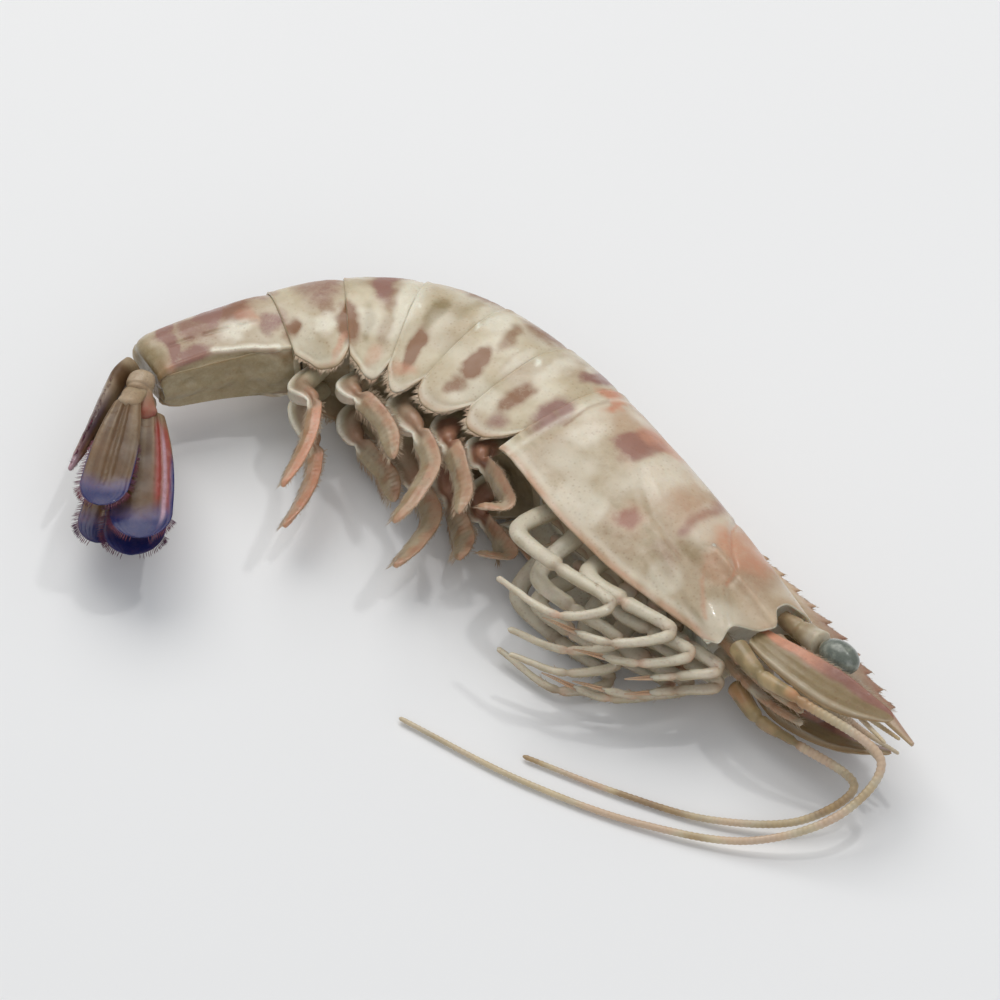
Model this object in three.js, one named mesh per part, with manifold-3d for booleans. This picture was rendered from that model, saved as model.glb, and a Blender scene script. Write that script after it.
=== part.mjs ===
// Raw caramote prawn, lying on its left side with its right side up, its back bowed and its tail
// fan folded under. Millimetres, +Z up. +X runs from tail to head, +Y is the back's side.
// The prawn is a row of shell plates: a carapace with its rostrum, six tail rings, each lapping
// over the next towards the tail, a telson between two pairs of tail blades, and paired limbs.

import * as THREE from 'three';
import { mergeVertices } from 'three/addons/utils/BufferGeometryUtils.js';
import Module from 'manifold-3d';

const wasm = await Module();
wasm.setup();

// ---------------------------------------------------------------- driving sizes

// The line of the back from the tail joint forward: each stretch's length and its bend.
const TAIL_HEADING = 63.7;
const BACK_LINE = [
  { part: 'somite_6', length: 23, bend: -14 },
  { part: 'somite_5', length: 11.5, bend: -15 },
  { part: 'somite_4', length: 13, bend: -21 },
  { part: 'somite_3', length: 14, bend: -21 },
  { part: 'somite_2', length: 12, bend: -8 },
  { part: 'somite_1', length: 11.8, bend: -8 },
  { part: 'carapace', length: 43, bend: -5 },
  { part: 'rostrum', length: 26, bend: 5 },
];

// Sizes along that line: [distance from the tail joint, value].
const HALF_WIDTH = [
  [0, 4.2], [12, 5.0], [23, 6.4], [29, 7.5], [41, 8.7], [54, 9.8], [67, 10.2], [79, 10.2],
  [86, 10.2], [98, 10.3], [110, 9.4], [120, 7.8], [128, 5.9], [132, 5.2],
];
const WIDEST_DEPTH = [
  [0, 5.3], [12, 6.3], [23, 7.8], [29, 9.3], [41, 11.0], [54, 12.3], [67, 12.5], [79, 11.8],
  [86, 11.6], [98, 11.9], [110, 11.0], [120, 9.2], [128, 7.4], [132, 6.8],
];
const SIDE_REACH = [
  [0, 10.9], [12, 12.6], [22, 14.8], [23.5, 18.4], [29, 20.0], [41, 23.4], [54, 25.6], [67, 25.6],
  [79, 23.8], [86, 23.0], [98, 23.5], [110, 22.2], [120, 19.2], [128, 16.2], [132, 15.4],
];
const UNDERSIDE_DEPTH = [
  [0, 10.5], [12, 12.2], [21, 14.3], [23, 14.1], [29, 15.0], [41, 17.0], [54, 18.4], [67, 18.4],
  [79, 17.4], [86, 17.0], [98, 17.4], [110, 16.4], [120, 14.4], [128, 12.2], [132, 11.6],
];

const MID_HEIGHT = 9.9;       // height of the middle plane above the floor
const CROWN_POWER = 2.3;      // how square the back's arch is
const SIDE_TUCK = 0.17;       // how far the sides come in towards their lower edge
const SIDE_WALL = 1.6;        // thickness of the side flaps
const LEAST_WALL = 0.7;       // the flaps' least thickness where they are set in
const KEEL_DROP = 0.5;        // how much deeper the underside is along its middle

const LAP = 1.6;              // how far a plate reaches over the one behind it
const CARAPACE_LAP = 2.2;     // the same for the carapace
const LIP_THICKNESS = 0.9;
const LIP_EDGE_INSET = 0.1;   // how far a lip's outer rim is rounded in
const GAP = 0.35;             // clearance between neighbouring plates
const LIP_PROUD = 0.35;       // how far a plate's rear edge stands above the next plate
const LOBE_RISE = 3.2;        // how far a side flap's corners rise above its lowest point
const LAST_LOBE_RISE = 0.5;   // the same for the last ring, whose lower edge is nearly straight
const LOBE_POWER = 2.6;       // how round a side flap's corners are
const END_ROUND = 0.5;        // length over which a plate's end is rounded off
const LAST_END_INSETS = [1.1, 0.3];  // how far the last ring's rear end is rounded in, in two rows

// Where the middle of the floor under the whole prawn lies, from the tail joint.
const FLOOR_CENTRE = { x: 66.0, y: 0.1 };

// ---------------------------------------------------------------- the body's line and sections

const radians = THREE.MathUtils.degToRad;

// Smooth value at a station from a table of [station, value].
function along(table, station) {
  const last = table.length - 1;
  if (station <= table[0][0]) return table[0][1];
  if (station >= table[last][0]) return table[last][1];
  let i = 0;
  while (table[i + 1][0] < station) i += 1;
  const [s0, v0] = table[i];
  const [s1, v1] = table[i + 1];
  const slope = (v1 - v0) / (s1 - s0);
  const before = i > 0 ? (v0 - table[i - 1][1]) / (s0 - table[i - 1][0]) : slope;
  const after = i + 2 <= last ? (table[i + 2][1] - v1) / (table[i + 2][0] - s1) : slope;
  const gentle = (a, b) => (a * b <= 0 ? 0 : (2 * a * b) / (a + b));
  const m0 = gentle(before, slope) * (s1 - s0);
  const m1 = gentle(slope, after) * (s1 - s0);
  const t = (station - s0) / (s1 - s0);
  const t2 = t * t;
  const t3 = t2 * t;
  return v0 * (2 * t3 - 3 * t2 + 1) + m0 * (t3 - 2 * t2 + t) + v1 * (3 * t2 - 2 * t3) + m1 * (t3 - t2);
}

// The arcs of the back's line, with the station where each begins.
const arcs = [];
const joint = {};
{
  let start = 0;
  let heading = radians(TAIL_HEADING);
  let x = 0;
  let y = 0;
  for (const { part, length, bend } of BACK_LINE) {
    const curve = radians(bend) / length;
    arcs.push({ start, heading, x, y, curve });
    x += (Math.sin(heading + curve * length) - Math.sin(heading)) / curve;
    y -= (Math.cos(heading + curve * length) - Math.cos(heading)) / curve;
    heading += curve * length;
    start += length;
    joint[part] = start;
  }
}

// The point of the back's line at a station, and the heading there.
function backLine(station) {
  const arc = arcs.findLast((a) => station >= a.start) ?? arcs[0];
  const turned = arc.heading + arc.curve * (station - arc.start);
  return {
    x: arc.x + (Math.sin(turned) - Math.sin(arc.heading)) / arc.curve,
    y: arc.y - (Math.cos(turned) - Math.cos(arc.heading)) / arc.curve,
    heading: turned,
  };
}

// A point of the body: its station, how deep below the back's line, how far to the right.
// The left side is flattened where it meets the floor.
function bodyPoint(station, depth, side) {
  const { x, y, heading } = backLine(station);
  return new THREE.Vector3(
    x + Math.sin(heading) * depth,
    y - Math.cos(heading) * depth,
    Math.max(MID_HEIGHT + side, 0),
  );
}

// One ring's outline as [depth, side] points, from the middle of the back down the right side,
// round the flap, over the underside and up the left. Shell points are set in by an inset.
const CROWN_STEPS = 6;
const FLAP_STEPS = [0.34, 0.68, 0.93];
const SHELL_POINTS = CROWN_STEPS + 1 + FLAP_STEPS.length + 1;

function outline(station, reach, underside, inset) {
  const widest = along(WIDEST_DEPTH, station);
  const half = along(HALF_WIDTH, station);
  const sideAt = (depth) => half * (1 - SIDE_TUCK * ((depth - widest) / widest) ** 2);
  const right = [];
  for (let i = 0; i <= CROWN_STEPS; i += 1) {
    const angle = (i / CROWN_STEPS) * Math.PI / 2;
    const up = Math.abs(Math.cos(angle)) ** (2 / CROWN_POWER);
    const out = Math.sin(angle) ** (2 / CROWN_POWER);
    right.push([widest - (widest - inset) * up, (half - inset) * out]);
  }
  const lowest = reach - inset * 0.5;
  for (const step of FLAP_STEPS) {
    const depth = widest + (lowest - widest) * step;
    right.push([depth, sideAt(depth) - inset]);
  }
  const wall = Math.max(SIDE_WALL - inset, LEAST_WALL);
  right.push([lowest, sideAt(lowest) - inset - wall * 0.5]);
  const innerDepth = underside + (lowest - underside) * 0.75;
  right.push([innerDepth, sideAt(innerDepth) - inset - wall]);
  right.push([underside, Math.min(sideAt(underside) - SIDE_WALL - 0.4, half * 0.78)]);
  right.push([underside + KEEL_DROP, 0]);
  const left = right.slice(1, -1).reverse().map(([depth, side]) => [depth, -side]);
  return [...right, ...left];
}

const RING_POINTS = 2 * (SHELL_POINTS + 3) - 2;
const isShell = (index) => index < SHELL_POINTS || index > RING_POINTS - SHELL_POINTS;

// ---------------------------------------------------------------- meshes from rings

// Two axes across a loop of points, for laying it flat.
function planeOf(loop) {
  const normal = new THREE.Vector3();
  loop.forEach((point, i) => {
    const next = loop[(i + 1) % loop.length];
    normal.x += (point.y - next.y) * (point.z + next.z);
    normal.y += (point.z - next.z) * (point.x + next.x);
    normal.z += (point.x - next.x) * (point.y + next.y);
  });
  normal.normalize();
  const guide = Math.abs(normal.z) < 0.9 ? new THREE.Vector3(0, 0, 1) : new THREE.Vector3(1, 0, 0);
  const u = new THREE.Vector3().crossVectors(guide, normal).normalize();
  const v = new THREE.Vector3().crossVectors(normal, u);
  return { u, v };
}

// A closed body through rings of equal counts, with both ends shut.
function loft(rings) {
  const count = rings[0].length;
  const positions = rings.flat().flatMap((p) => [p.x, p.y, p.z]);
  const faces = [];
  for (let r = 0; r + 1 < rings.length; r += 1) {
    for (let i = 0; i < count; i += 1) {
      const a = r * count + i;
      const b = r * count + ((i + 1) % count);
      faces.push([a, b, b + count], [a, b + count, a + count]);
    }
  }
  const shut = (ring, offset, flip) => {
    const { u, v } = planeOf(ring);
    const flat = ring.map((p) => new THREE.Vector2(p.dot(u), p.dot(v)));
    for (const [a, b, c] of THREE.ShapeUtils.triangulateShape(flat, [])) {
      faces.push(flip ? [offset + a, offset + c, offset + b] : [offset + a, offset + b, offset + c]);
    }
  };
  shut(rings[0], 0, true);
  shut(rings[rings.length - 1], (rings.length - 1) * count, false);
  return solid(positions, faces);
}

// Vertices joined, faces that have closed up dropped, and the whole turned to face outwards.
function solid(positions, faces) {
  const draft = new THREE.BufferGeometry();
  draft.setAttribute('position', new THREE.Float32BufferAttribute(positions, 3));
  draft.setIndex(faces.flat());
  const merged = mergeVertices(draft, 1e-3);
  const index = [...merged.index.array];
  const place = merged.attributes.position;
  const corner = (i) => new THREE.Vector3().fromBufferAttribute(place, i);
  const kept = [];
  let volume = 0;
  for (let i = 0; i < index.length; i += 3) {
    const [a, b, c] = index.slice(i, i + 3);
    if (a === b || b === c || c === a) continue;
    kept.push([a, b, c]);
    volume += corner(a).dot(corner(b).cross(corner(c)));
  }
  merged.setIndex((volume < 0 ? kept.map(([a, b, c]) => [a, c, b]) : kept).flat());
  return merged;
}

// Boolean work on closed geometries.
function toManifold(geometry) {
  return new wasm.Manifold(new wasm.Mesh({
    numProp: 3,
    vertProperties: new Float32Array(geometry.attributes.position.array),
    triVerts: new Uint32Array(geometry.index.array),
  }));
}

function fromManifold(body) {
  const mesh = body.getMesh();
  const geometry = new THREE.BufferGeometry();
  geometry.setAttribute('position', new THREE.Float32BufferAttribute([...mesh.vertProperties], 3));
  geometry.setIndex([...mesh.triVerts]);
  return geometry;
}

const fuse = (...geometries) => fromManifold(
  geometries.map(toManifold).reduce((all, one) => all.add(one)),
);

// A limb: rings along a route. Each stop gives its place, half-width across, half-thickness.
// "across" is the direction of the wider way, kept square to the route.
function limb(stops, across, sides) {
  const rings = stops.map(({ at, wide, thick }, i) => {
    const before = stops[Math.max(i - 1, 0)].at;
    const after = stops[Math.min(i + 1, stops.length - 1)].at;
    const ahead = new THREE.Vector3().subVectors(after, before).normalize();
    const width = across.clone().addScaledVector(ahead, -across.dot(ahead)).normalize();
    const height = new THREE.Vector3().crossVectors(ahead, width);
    return Array.from({ length: sides }, (_, k) => {
      const angle = ((k + 0.5) / sides) * 2 * Math.PI;
      return at.clone()
        .addScaledVector(width, wide * Math.cos(angle))
        .addScaledVector(height, thick * Math.sin(angle));
    });
  });
  return loft(rings);
}

// Stops along a smooth curve through a few places, with sizes by a function of the way along.
function stopsAlong(places, steps, sizeAt) {
  const curve = new THREE.CatmullRomCurve3(places, false, 'centripetal');
  return Array.from({ length: steps + 1 }, (_, i) => {
    const way = i / steps;
    const { wide, thick } = sizeAt(way);
    return { at: curve.getPointAt(way), wide, thick };
  });
}

const UP = new THREE.Vector3(0, 0, 1);
const SIDES = [['right', 1], ['left', -1]];

// ---------------------------------------------------------------- colours and finishes

const finishes = {
  shell: { color: 0xc3ae90, roughness: 0.35, metalness: 0 },
  fan: { color: 0x7a6450, roughness: 0.35, metalness: 0 },
  limb: { color: 0xbfae93, roughness: 0.4, metalness: 0 },
  whisker: { color: 0xd9c6a0, roughness: 0.4, metalness: 0 },
  eye: { color: 0x2c3032, roughness: 0.15, metalness: 0 },
};

const prawn = new THREE.Group();

function place(name, geometry, finish) {
  geometry.translate(-FLOOR_CENTRE.x, -FLOOR_CENTRE.y, 0);
  const mesh = new THREE.Mesh(geometry, new THREE.MeshStandardMaterial(finishes[finish]));
  mesh.name = name;
  prawn.add(mesh);
}

// ---------------------------------------------------------------- tail rings

// The shell's inset behind a neighbour's rear edge, back to the full surface.
const VISIBLE_RISE = 4;
function insetBehind(distance) {
  if (distance >= VISIBLE_RISE) return 0;
  return LIP_PROUD * (1 - distance / VISIBLE_RISE) ** 2;
}

// A side flap's lower edge: a lobe, lowest at the middle of its length.
function lobe(way, rise) {
  return rise * Math.abs(2 * way - 1) ** LOBE_POWER;
}

// A tail ring from its rear joint to its front joint. Its rear edge is a lip over the next ring,
// and its front is set in to fit under the lip ahead.
const RINGS = 6;
function ring(number) {
  const part = `somite_${number}`;
  const front = joint[part] - GAP;
  const rear = joint[part] - BACK_LINE[RINGS - number].length;
  const last = number === RINGS;
  const lipEdge = last ? rear : rear - LAP;
  const coverEdge = joint[part] - (number === 1 ? CARAPACE_LAP : LAP) - GAP;
  const reachAt = (station) => {
    const way = (station - lipEdge) / (coverEdge - lipEdge);
    const reach = along(SIDE_REACH, Math.max(station, last ? rear : rear + END_ROUND));
    return reach - lobe(THREE.MathUtils.clamp(way, 0, 1.1), last ? LAST_LOBE_RISE : LOBE_RISE);
  };
  const tucked = LIP_THICKNESS + GAP;
  const rows = [];
  const row = (station, inset, underStation) => {
    const outer = outline(station, reachAt(station), along(UNDERSIDE_DEPTH, station), inset);
    const under = outline(
      underStation, reachAt(underStation), along(UNDERSIDE_DEPTH, underStation), inset,
    );
    rows.push(outer.map((_, i) => {
      const [depth, side] = isShell(i) ? outer[i] : under[i];
      return bodyPoint(isShell(i) ? station : underStation, depth, side);
    }));
  };
  if (last) {
    row(rear, LAST_END_INSETS[0], rear);
    row(rear + END_ROUND, LAST_END_INSETS[1], rear + END_ROUND);
  } else {
    row(rear, LIP_THICKNESS, rear);
    row(lipEdge, LIP_THICKNESS, rear);
    row(lipEdge, LIP_EDGE_INSET, rear);
  }
  const steps = last ? 6 : 4;
  const first = last ? rear + END_ROUND : lipEdge;
  for (let i = 1; i <= steps; i += 1) {
    const station = first + ((coverEdge - END_ROUND - first) * i) / steps;
    row(station, insetBehind(coverEdge - station), Math.max(station, rear));
  }
  row(coverEdge, tucked, coverEdge);
  row(front, tucked, front);
  return loft(rows);
}

for (let number = 1; number <= RINGS; number += 1) place(`somite_${number}`, ring(number), 'shell');

// ---------------------------------------------------------------- carapace and rostrum

const CARAPACE_REAR = joint.somite_1;
const HEAD_RECESS = 7;        // how far the front face lies behind the eye sockets
const BELLY_PULL = 6;         // how far the underside's front edge is drawn back from the shell's
const FRONT_ROUND = { back: 0.4, inset: 1.0, faceInset: 1.6 };
const ORBIT = joint.carapace;
const ROSTRUM_TIP = joint.rostrum;

// Where the front edge of the shell stands at each depth: the eye's notch, the antennal corner
// and the long slope back to the lower front corner.
const FRONT_EDGE = [
  [0, 2.0], [1.6, 0.6], [3.2, -0.9], [4.8, -0.5], [7, 2.4], [9, 2.0], [12, -0.8], [14.6, 0.4], [16, -1.4],
];

function carapaceBody() {
  const rows = [];
  const row = (station, inset, underStation, pull) => {
    const [outer, under] = [station, underStation].map((s) => (
      outline(s, along(SIDE_REACH, s), along(UNDERSIDE_DEPTH, s), inset)
    ));
    rows.push(outer.map((_, i) => {
      const [depth, side] = isShell(i) ? outer[i] : under[i];
      const edge = pull * (isShell(i) ? along(FRONT_EDGE, depth) : -BELLY_PULL);
      return bodyPoint((isShell(i) ? station : underStation) + edge, depth, side);
    }));
  };
  row(CARAPACE_REAR, LIP_THICKNESS, CARAPACE_REAR, 0);
  row(CARAPACE_REAR - CARAPACE_LAP, LIP_THICKNESS, CARAPACE_REAR, 0);
  const first = CARAPACE_REAR - CARAPACE_LAP;
  row(first, LIP_EDGE_INSET, CARAPACE_REAR, 0);
  const steps = 11;
  for (let i = 1; i <= steps; i += 1) {
    const way = i / steps;
    const station = first + (ORBIT - first) * way;
    row(station, 0, Math.max(station, CARAPACE_REAR), way ** 4);
  }
  row(ORBIT - FRONT_ROUND.back, FRONT_ROUND.inset, ORBIT - FRONT_ROUND.back, 1);
  row(ORBIT - HEAD_RECESS, FRONT_ROUND.faceInset, ORBIT - HEAD_RECESS, 0);
  return loft(rows);
}

const RIDGE_ROOT = ORBIT - 26;  // where the rostrum's ridge grows out of the back
const TEETH = 10;
const TOOTH_HEIGHT = 1.1;     // the tallest tooth, in the middle of the row
const TOOTH_FADE = 0.35;      // how much lower the outermost teeth are
const TOOTH_FIRST = ORBIT - 16;
const TOOTH_LAST = ORBIT + 19;
const CREST = [
  [RIDGE_ROOT, -0.6], [ORBIT - 16, 0.5], [ORBIT - 4, 1.5], [ORBIT + 6, 2.2], [ORBIT + 17, 1.3],
  [ROSTRUM_TIP, 0.3],
];
const KEEL = [
  [RIDGE_ROOT, -2.4], [ORBIT, -2.6], [ORBIT + 6, -2.0], [ORBIT + 17, -1.2], [ROSTRUM_TIP, -0.3],
];
const BLADE = [
  [RIDGE_ROOT, 0.8], [ORBIT - 6, 1.5], [ORBIT + 2, 1.5], [ORBIT + 14, 0.8], [ROSTRUM_TIP, 0.3],
];

// The rostrum: a blade that grows out of the back's ridge, with teeth along its crest.
function rostrum() {
  const stations = [];
  for (let station = RIDGE_ROOT; station < TOOTH_FIRST; station += 3) stations.push([station, 0]);
  const pitch = (TOOTH_LAST - TOOTH_FIRST) / TEETH;
  for (let i = 0; i < TEETH; i += 1) {
    const start = TOOTH_FIRST + i * pitch;
    const height = TOOTH_HEIGHT - TOOTH_FADE * Math.abs((2 * i) / TEETH - 1);
    stations.push([start, 0], [start + pitch * 0.45, height * 0.45], [start + pitch * 0.8, height]);
  }
  stations.push([TOOTH_LAST, 0], [TOOTH_LAST + 3.5, 0], [ROSTRUM_TIP - 0.4, 0]);
  return loft(stations.map(([station, tooth]) => {
    const top = along(CREST, station);
    const bottom = along(KEEL, station);
    const half = along(BLADE, station);
    const middle = top * 0.35 + bottom * 0.65;
    const shape = [
      [top + tooth, 0], [top - 0.5, half * 0.55], [middle, half], [bottom, half * 0.45],
      [bottom, -half * 0.45], [middle, -half], [top - 0.5, -half * 0.55],
    ];
    return shape.map(([height, side]) => bodyPoint(station, -height, side));
  }));
}

// A small forward spine on the shell's surface.
function spine(station, depth, side, length, radius) {
  const cone = new THREE.ConeGeometry(radius, length, 6);
  for (const name of ['normal', 'uv']) cone.deleteAttribute(name);
  const base = bodyPoint(station, depth, side);
  const tip = bodyPoint(station + length, depth - 0.2, side * 1.02);
  const aim = new THREE.Quaternion().setFromUnitVectors(
    new THREE.Vector3(0, 1, 0), new THREE.Vector3().subVectors(tip, base).normalize(),
  );
  cone.applyQuaternion(aim);
  cone.translate(base.x, base.y, base.z);
  return mergeVertices(cone, 1e-4);
}

const SIDE_SPINE = { station: ORBIT - 11, depth: 8.0, length: 3.2, radius: 0.6, sunk: 0.35 };
const sideSpines = SIDES.map(([, side]) => {
  const { station, depth, length, radius, sunk } = SIDE_SPINE;
  return spine(station, depth, side * (along(HALF_WIDTH, station) - sunk), length, radius);
});
place('carapace', fuse(carapaceBody(), rostrum(), ...sideSpines), 'shell');

// ---------------------------------------------------------------- thorax underside

// The depth at which things hang clear of the body's underside.
const clearOfUnderside = (station) => along(UNDERSIDE_DEPTH, station) + KEEL_DROP + GAP;

// The narrow floor plate between the leg bases, under the carapace, waved once per leg pair.
const STERNUM_HALF = 1.9;
function sternum() {
  const rows = [];
  const first = CARAPACE_REAR + 3;
  const last = ORBIT - 8;
  const steps = 10;
  for (let i = 0; i <= steps; i += 1) {
    const station = first + ((last - first) * i) / steps;
    const end = i === 0 || i === steps ? 0.6 : 1;
    const top = clearOfUnderside(station);
    const bottom = top + (i % 2 ? 2.2 : 1.7) * end;
    const half = STERNUM_HALF * end;
    rows.push([
      [top, half * 0.8], [top + 0.6, half], [bottom - 0.5, half * 0.9], [bottom, half * 0.4],
      [bottom, -half * 0.4], [bottom - 0.5, -half * 0.9], [top + 0.6, -half], [top, -half * 0.8],
    ].map(([depth, side]) => bodyPoint(station, depth, side)));
  }
  return loft(rows);
}
place('thorax', sternum(), 'limb');

// ---------------------------------------------------------------- tail fan

// A direction from its heading in the level plane and its rise above it, in degrees.
function direction(heading, rise = 0) {
  const [h, r] = [radians(heading), radians(rise)];
  return new THREE.Vector3(Math.cos(h) * Math.cos(r), Math.sin(h) * Math.cos(r), Math.sin(r));
}

const TAILWARD = direction(TAIL_HEADING + 180);
const TELSON = {
  depth: 3.9, clear: 0.85, root: 3, rootHeading: -96, heading: -78.5, length: 21.5, half: 3.1, thick: 1.7,
};

function telson() {
  const start = bodyPoint(0, TELSON.depth, 0).addScaledVector(TAILWARD, TELSON.clear);
  const turn = start.clone().addScaledVector(direction(TELSON.rootHeading), TELSON.root);
  const end = turn.clone().addScaledVector(direction(TELSON.heading), TELSON.length - TELSON.root);
  const middle = turn.clone().lerp(end, 0.5);
  const shoulder = TELSON.root / TELSON.length;
  const stops = stopsAlong([start, turn, middle, end], 10, (way) => ({
    wide: TELSON.half * (way < shoulder
      ? 0.85 + way
      : 1 - 0.9 * ((way - shoulder) / (1 - shoulder)) ** 1.2),
    thick: TELSON.thick * (1 - 0.8 * way),
  }));
  return limb(stops, UP, 8);
}
place('telson', telson(), 'fan');

// The stout base that carries a pair of tail blades, and the blades: narrow at the root,
// widest past the middle, round at the end. Each blade's heading and rise are in degrees.
const FAN_BASE = { depth: 7.4, side: 2.3, heading: -72, length: 4.2 };
const BLADES = {
  exopod: { ahead: 1.5, out: -1.2, length: 26.5, half: 4.4, thick: 0.65, right: [-58, 4], left: [-61, 1] },
  endopod: { ahead: -1.3, out: 0.9, length: 23.0, half: 3.5, thick: 0.5, right: [-66, 4], left: [-68, 0] },
};

function fanBase(side) {
  const start = bodyPoint(0, FAN_BASE.depth, side * FAN_BASE.side).addScaledVector(TAILWARD, 1.1);
  const end = start.clone().addScaledVector(direction(FAN_BASE.heading), FAN_BASE.length);
  const stops = stopsAlong([start, end], 4, (way) => ({
    wide: 2.0 - 0.6 * (2 * way - 1) ** 2,
    thick: 1.6 - 0.4 * (2 * way - 1) ** 2,
  }));
  return limb(stops, direction(0), 8);
}

function fanBlade({ ahead, out, length, half, thick }, [heading, rise], side) {
  const root = bodyPoint(0, FAN_BASE.depth, side * (FAN_BASE.side + out))
    .addScaledVector(direction(FAN_BASE.heading), FAN_BASE.length + 2.6)
    .addScaledVector(direction(FAN_BASE.heading + 90), ahead);
  const end = root.clone().addScaledVector(direction(heading, rise), length);
  const stops = stopsAlong([root, end], 11, (way) => {
    const swell = Math.sin(Math.PI * Math.min(0.13 + way * 0.55, 0.5)) ** 0.8;
    const round = way > 0.8 ? Math.sqrt(Math.max(1 - ((way - 0.8) / 0.2) ** 2, 0.08)) : 1;
    return { wide: half * swell * round, thick: thick * (1 - 0.35 * way) * Math.max(round, 0.6) };
  });
  stops.forEach((stop) => { stop.at.z = Math.max(stop.at.z, stop.thick); });
  return limb(stops, direction(heading + 90), 8);
}

for (const [name, side] of SIDES) {
  place(`uropod_base_${name}`, fanBase(side), 'fan');
  for (const [blade, spec] of Object.entries(BLADES)) {
    place(`uropod_${blade}_${name}`, fanBlade(spec, spec[name], side), 'fan');
  }
}

// ---------------------------------------------------------------- swimming limbs

// Each pair hangs from its ring: a stout base, then a blade. A route is [x, y, side] past the
// root at the underside; the left limbs follow it mirrored in the middle plane.
const PLEOPODS = [
  { ring: 1, root: 78, route: [[55.5, 6.2, 5.2], [61.2, 2.6, 6.0], [64.2, 0.0, 5.4], [60.8, -2.2, 4.8]] },
  { ring: 2, root: 67, route: [[49.2, 7.2, 4.4], [54.2, 2.8, 6.0], [58.0, -1.2, 5.4], [59.4, -4.6, 4.8]] },
  { ring: 3, root: 54.5, route: [[41.5, 7.6, 4.2], [46.5, 4.6, 5.8], [51.4, 0.6, 5.6], [52.6, -5.6, 5.2], [52.6, -10.8, 4.6]] },
  { ring: 4, root: 41, route: [[32.8, 7.8, 3.6], [37.6, 5.6, 5.2], [42.4, 3.2, 5.0], [46.0, -0.6, 4.4]] },
  { ring: 5, root: 28, route: [[26.3, 5.0, 2.2], [30.4, 2.4, 4.6], [33.6, -3.0, 4.8], [35.0, -8.4, 4.6], [35.6, -13.2, 4.2]] },
];
const PLEOPOD = {
  baseShare: 0.42,            // the stout base's share of the whole length
  baseThick: 1.5,
  bladeThick: 0.5,
  baseWide: 0.24,             // the base's half-width, as a share of the ring's half-width
  bladeWide: 0.18,            // the same for the blade
  rootSide: 0.3,              // how far out it hangs, as a share of the ring's half-width
  turn: 30,                   // how far its wider way is turned up out of the level plane, in degrees
};

function pleopod({ root, route }, side) {
  const half = along(HALF_WIDTH, root);
  const places = [bodyPoint(root, clearOfUnderside(root) + GAP, side * half * PLEOPOD.rootSide)];
  for (const [x, y, out] of route) places.push(new THREE.Vector3(x, y, MID_HEIGHT + side * out));
  const stops = stopsAlong(places, 11, (way) => {
    const tip = way > 0.8 ? 1 - 0.65 * ((way - 0.8) / 0.2) ** 2 : 1;
    const onBase = way < PLEOPOD.baseShare;
    const shield = 0.55 + 0.45 * Math.sin(Math.PI * THREE.MathUtils.clamp(way / PLEOPOD.baseShare, 0, 1));
    return {
      wide: half * (onBase ? PLEOPOD.baseWide * shield : PLEOPOD.bladeWide * tip),
      thick: onBase ? PLEOPOD.baseThick * shield : PLEOPOD.bladeThick,
    };
  });
  return limb(stops, direction(THREE.MathUtils.radToDeg(backLine(root).heading), PLEOPOD.turn), 7);
}

for (const spec of PLEOPODS) {
  for (const [name, side] of SIDES) {
    place(`pleopod_${spec.ring}_${name}`, pleopod(spec, side), 'limb');
  }
}

// ---------------------------------------------------------------- walking legs

// Each leg leaves the sternum's side, runs forward beside its neighbours under the carapace's
// edge to its knee, and folds back down. "past" is how far it runs past the carapace's edge,
// "near" and "far" how far out it runs behind and at the knee, as shares of the half-width, and
// "fold" how steeply its last stretch leaves the body.
const LEGS = [
  { number: 1, base: ORBIT - 11, past: -0.3, near: 0.18, far: 0.17, run: 13, carpus: 6, hand: 7, fold: 0.75 },
  { number: 2, base: ORBIT - 16, past: 1.9, near: 0.34, far: 0.44, run: 15, carpus: 7, hand: 9, fold: 0.4 },
  { number: 3, base: ORBIT - 22, past: 2.0, near: 0.55, far: 0.74, run: 18, carpus: 8, hand: 10, fold: 0.25 },
  { number: 4, base: ORBIT - 28, past: 5.6, near: 0.28, far: 0.20, run: 19, carpus: 7, hand: 9, fold: 0.3 },
  { number: 5, base: ORBIT - 34, past: 5.0, near: 0.60, far: 0.86, run: 23, carpus: 7, hand: 11, fold: 0.1 },
];
const LEG_RADIUS = 1.1;
const LEG_FLATNESS = 0.8;     // how thin a leg is across the body, as a share of that radius
const LEG_BREADTH = 1.3;      // how broad it is along the body, as a share of the same
const LEG_ROOT = 0.405;       // how far out the legs hang, as a share of the half-width
const LEFT_LEAN = 1.4;        // how much further out the left knees lie

function leg({ base, past, near, far, run, carpus, hand, fold }, side) {
  const laneAt = (station, extra = 0) => {
    const way = THREE.MathUtils.clamp((station - base) / run, 0, 1);
    const share = near + (far - near) * way;
    const lean = side < 0 ? LEFT_LEAN * way : 0;
    return bodyPoint(
      station,
      along(SIDE_REACH, station) + past + extra,
      side * (along(HALF_WIDTH, station) * share + lean),
    );
  };
  const knee = base + run;
  const rootSide = side * along(HALF_WIDTH, base) * LEG_ROOT;
  const places = [
    bodyPoint(base, clearOfUnderside(base) + 0.5, rootSide),
    bodyPoint(base + 0.6, clearOfUnderside(base) + 2.5, rootSide),
    laneAt(base + 3.2),
    laneAt(base + run * 0.55),
    laneAt(knee),
    laneAt(knee - carpus * 0.3, carpus * 0.9),
    laneAt(knee - carpus * 0.5 - hand * (1 - fold), carpus * 0.95 + hand * fold),
  ];
  const stops = stopsAlong(places, 14, (way) => {
    const radius = LEG_RADIUS * (1.15 - 0.75 * way);
    return { wide: radius * LEG_FLATNESS, thick: radius * (1 + (LEG_BREADTH - 1) * (1 - way)) };
  });
  return limb(stops, UP, 6);
}

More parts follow.
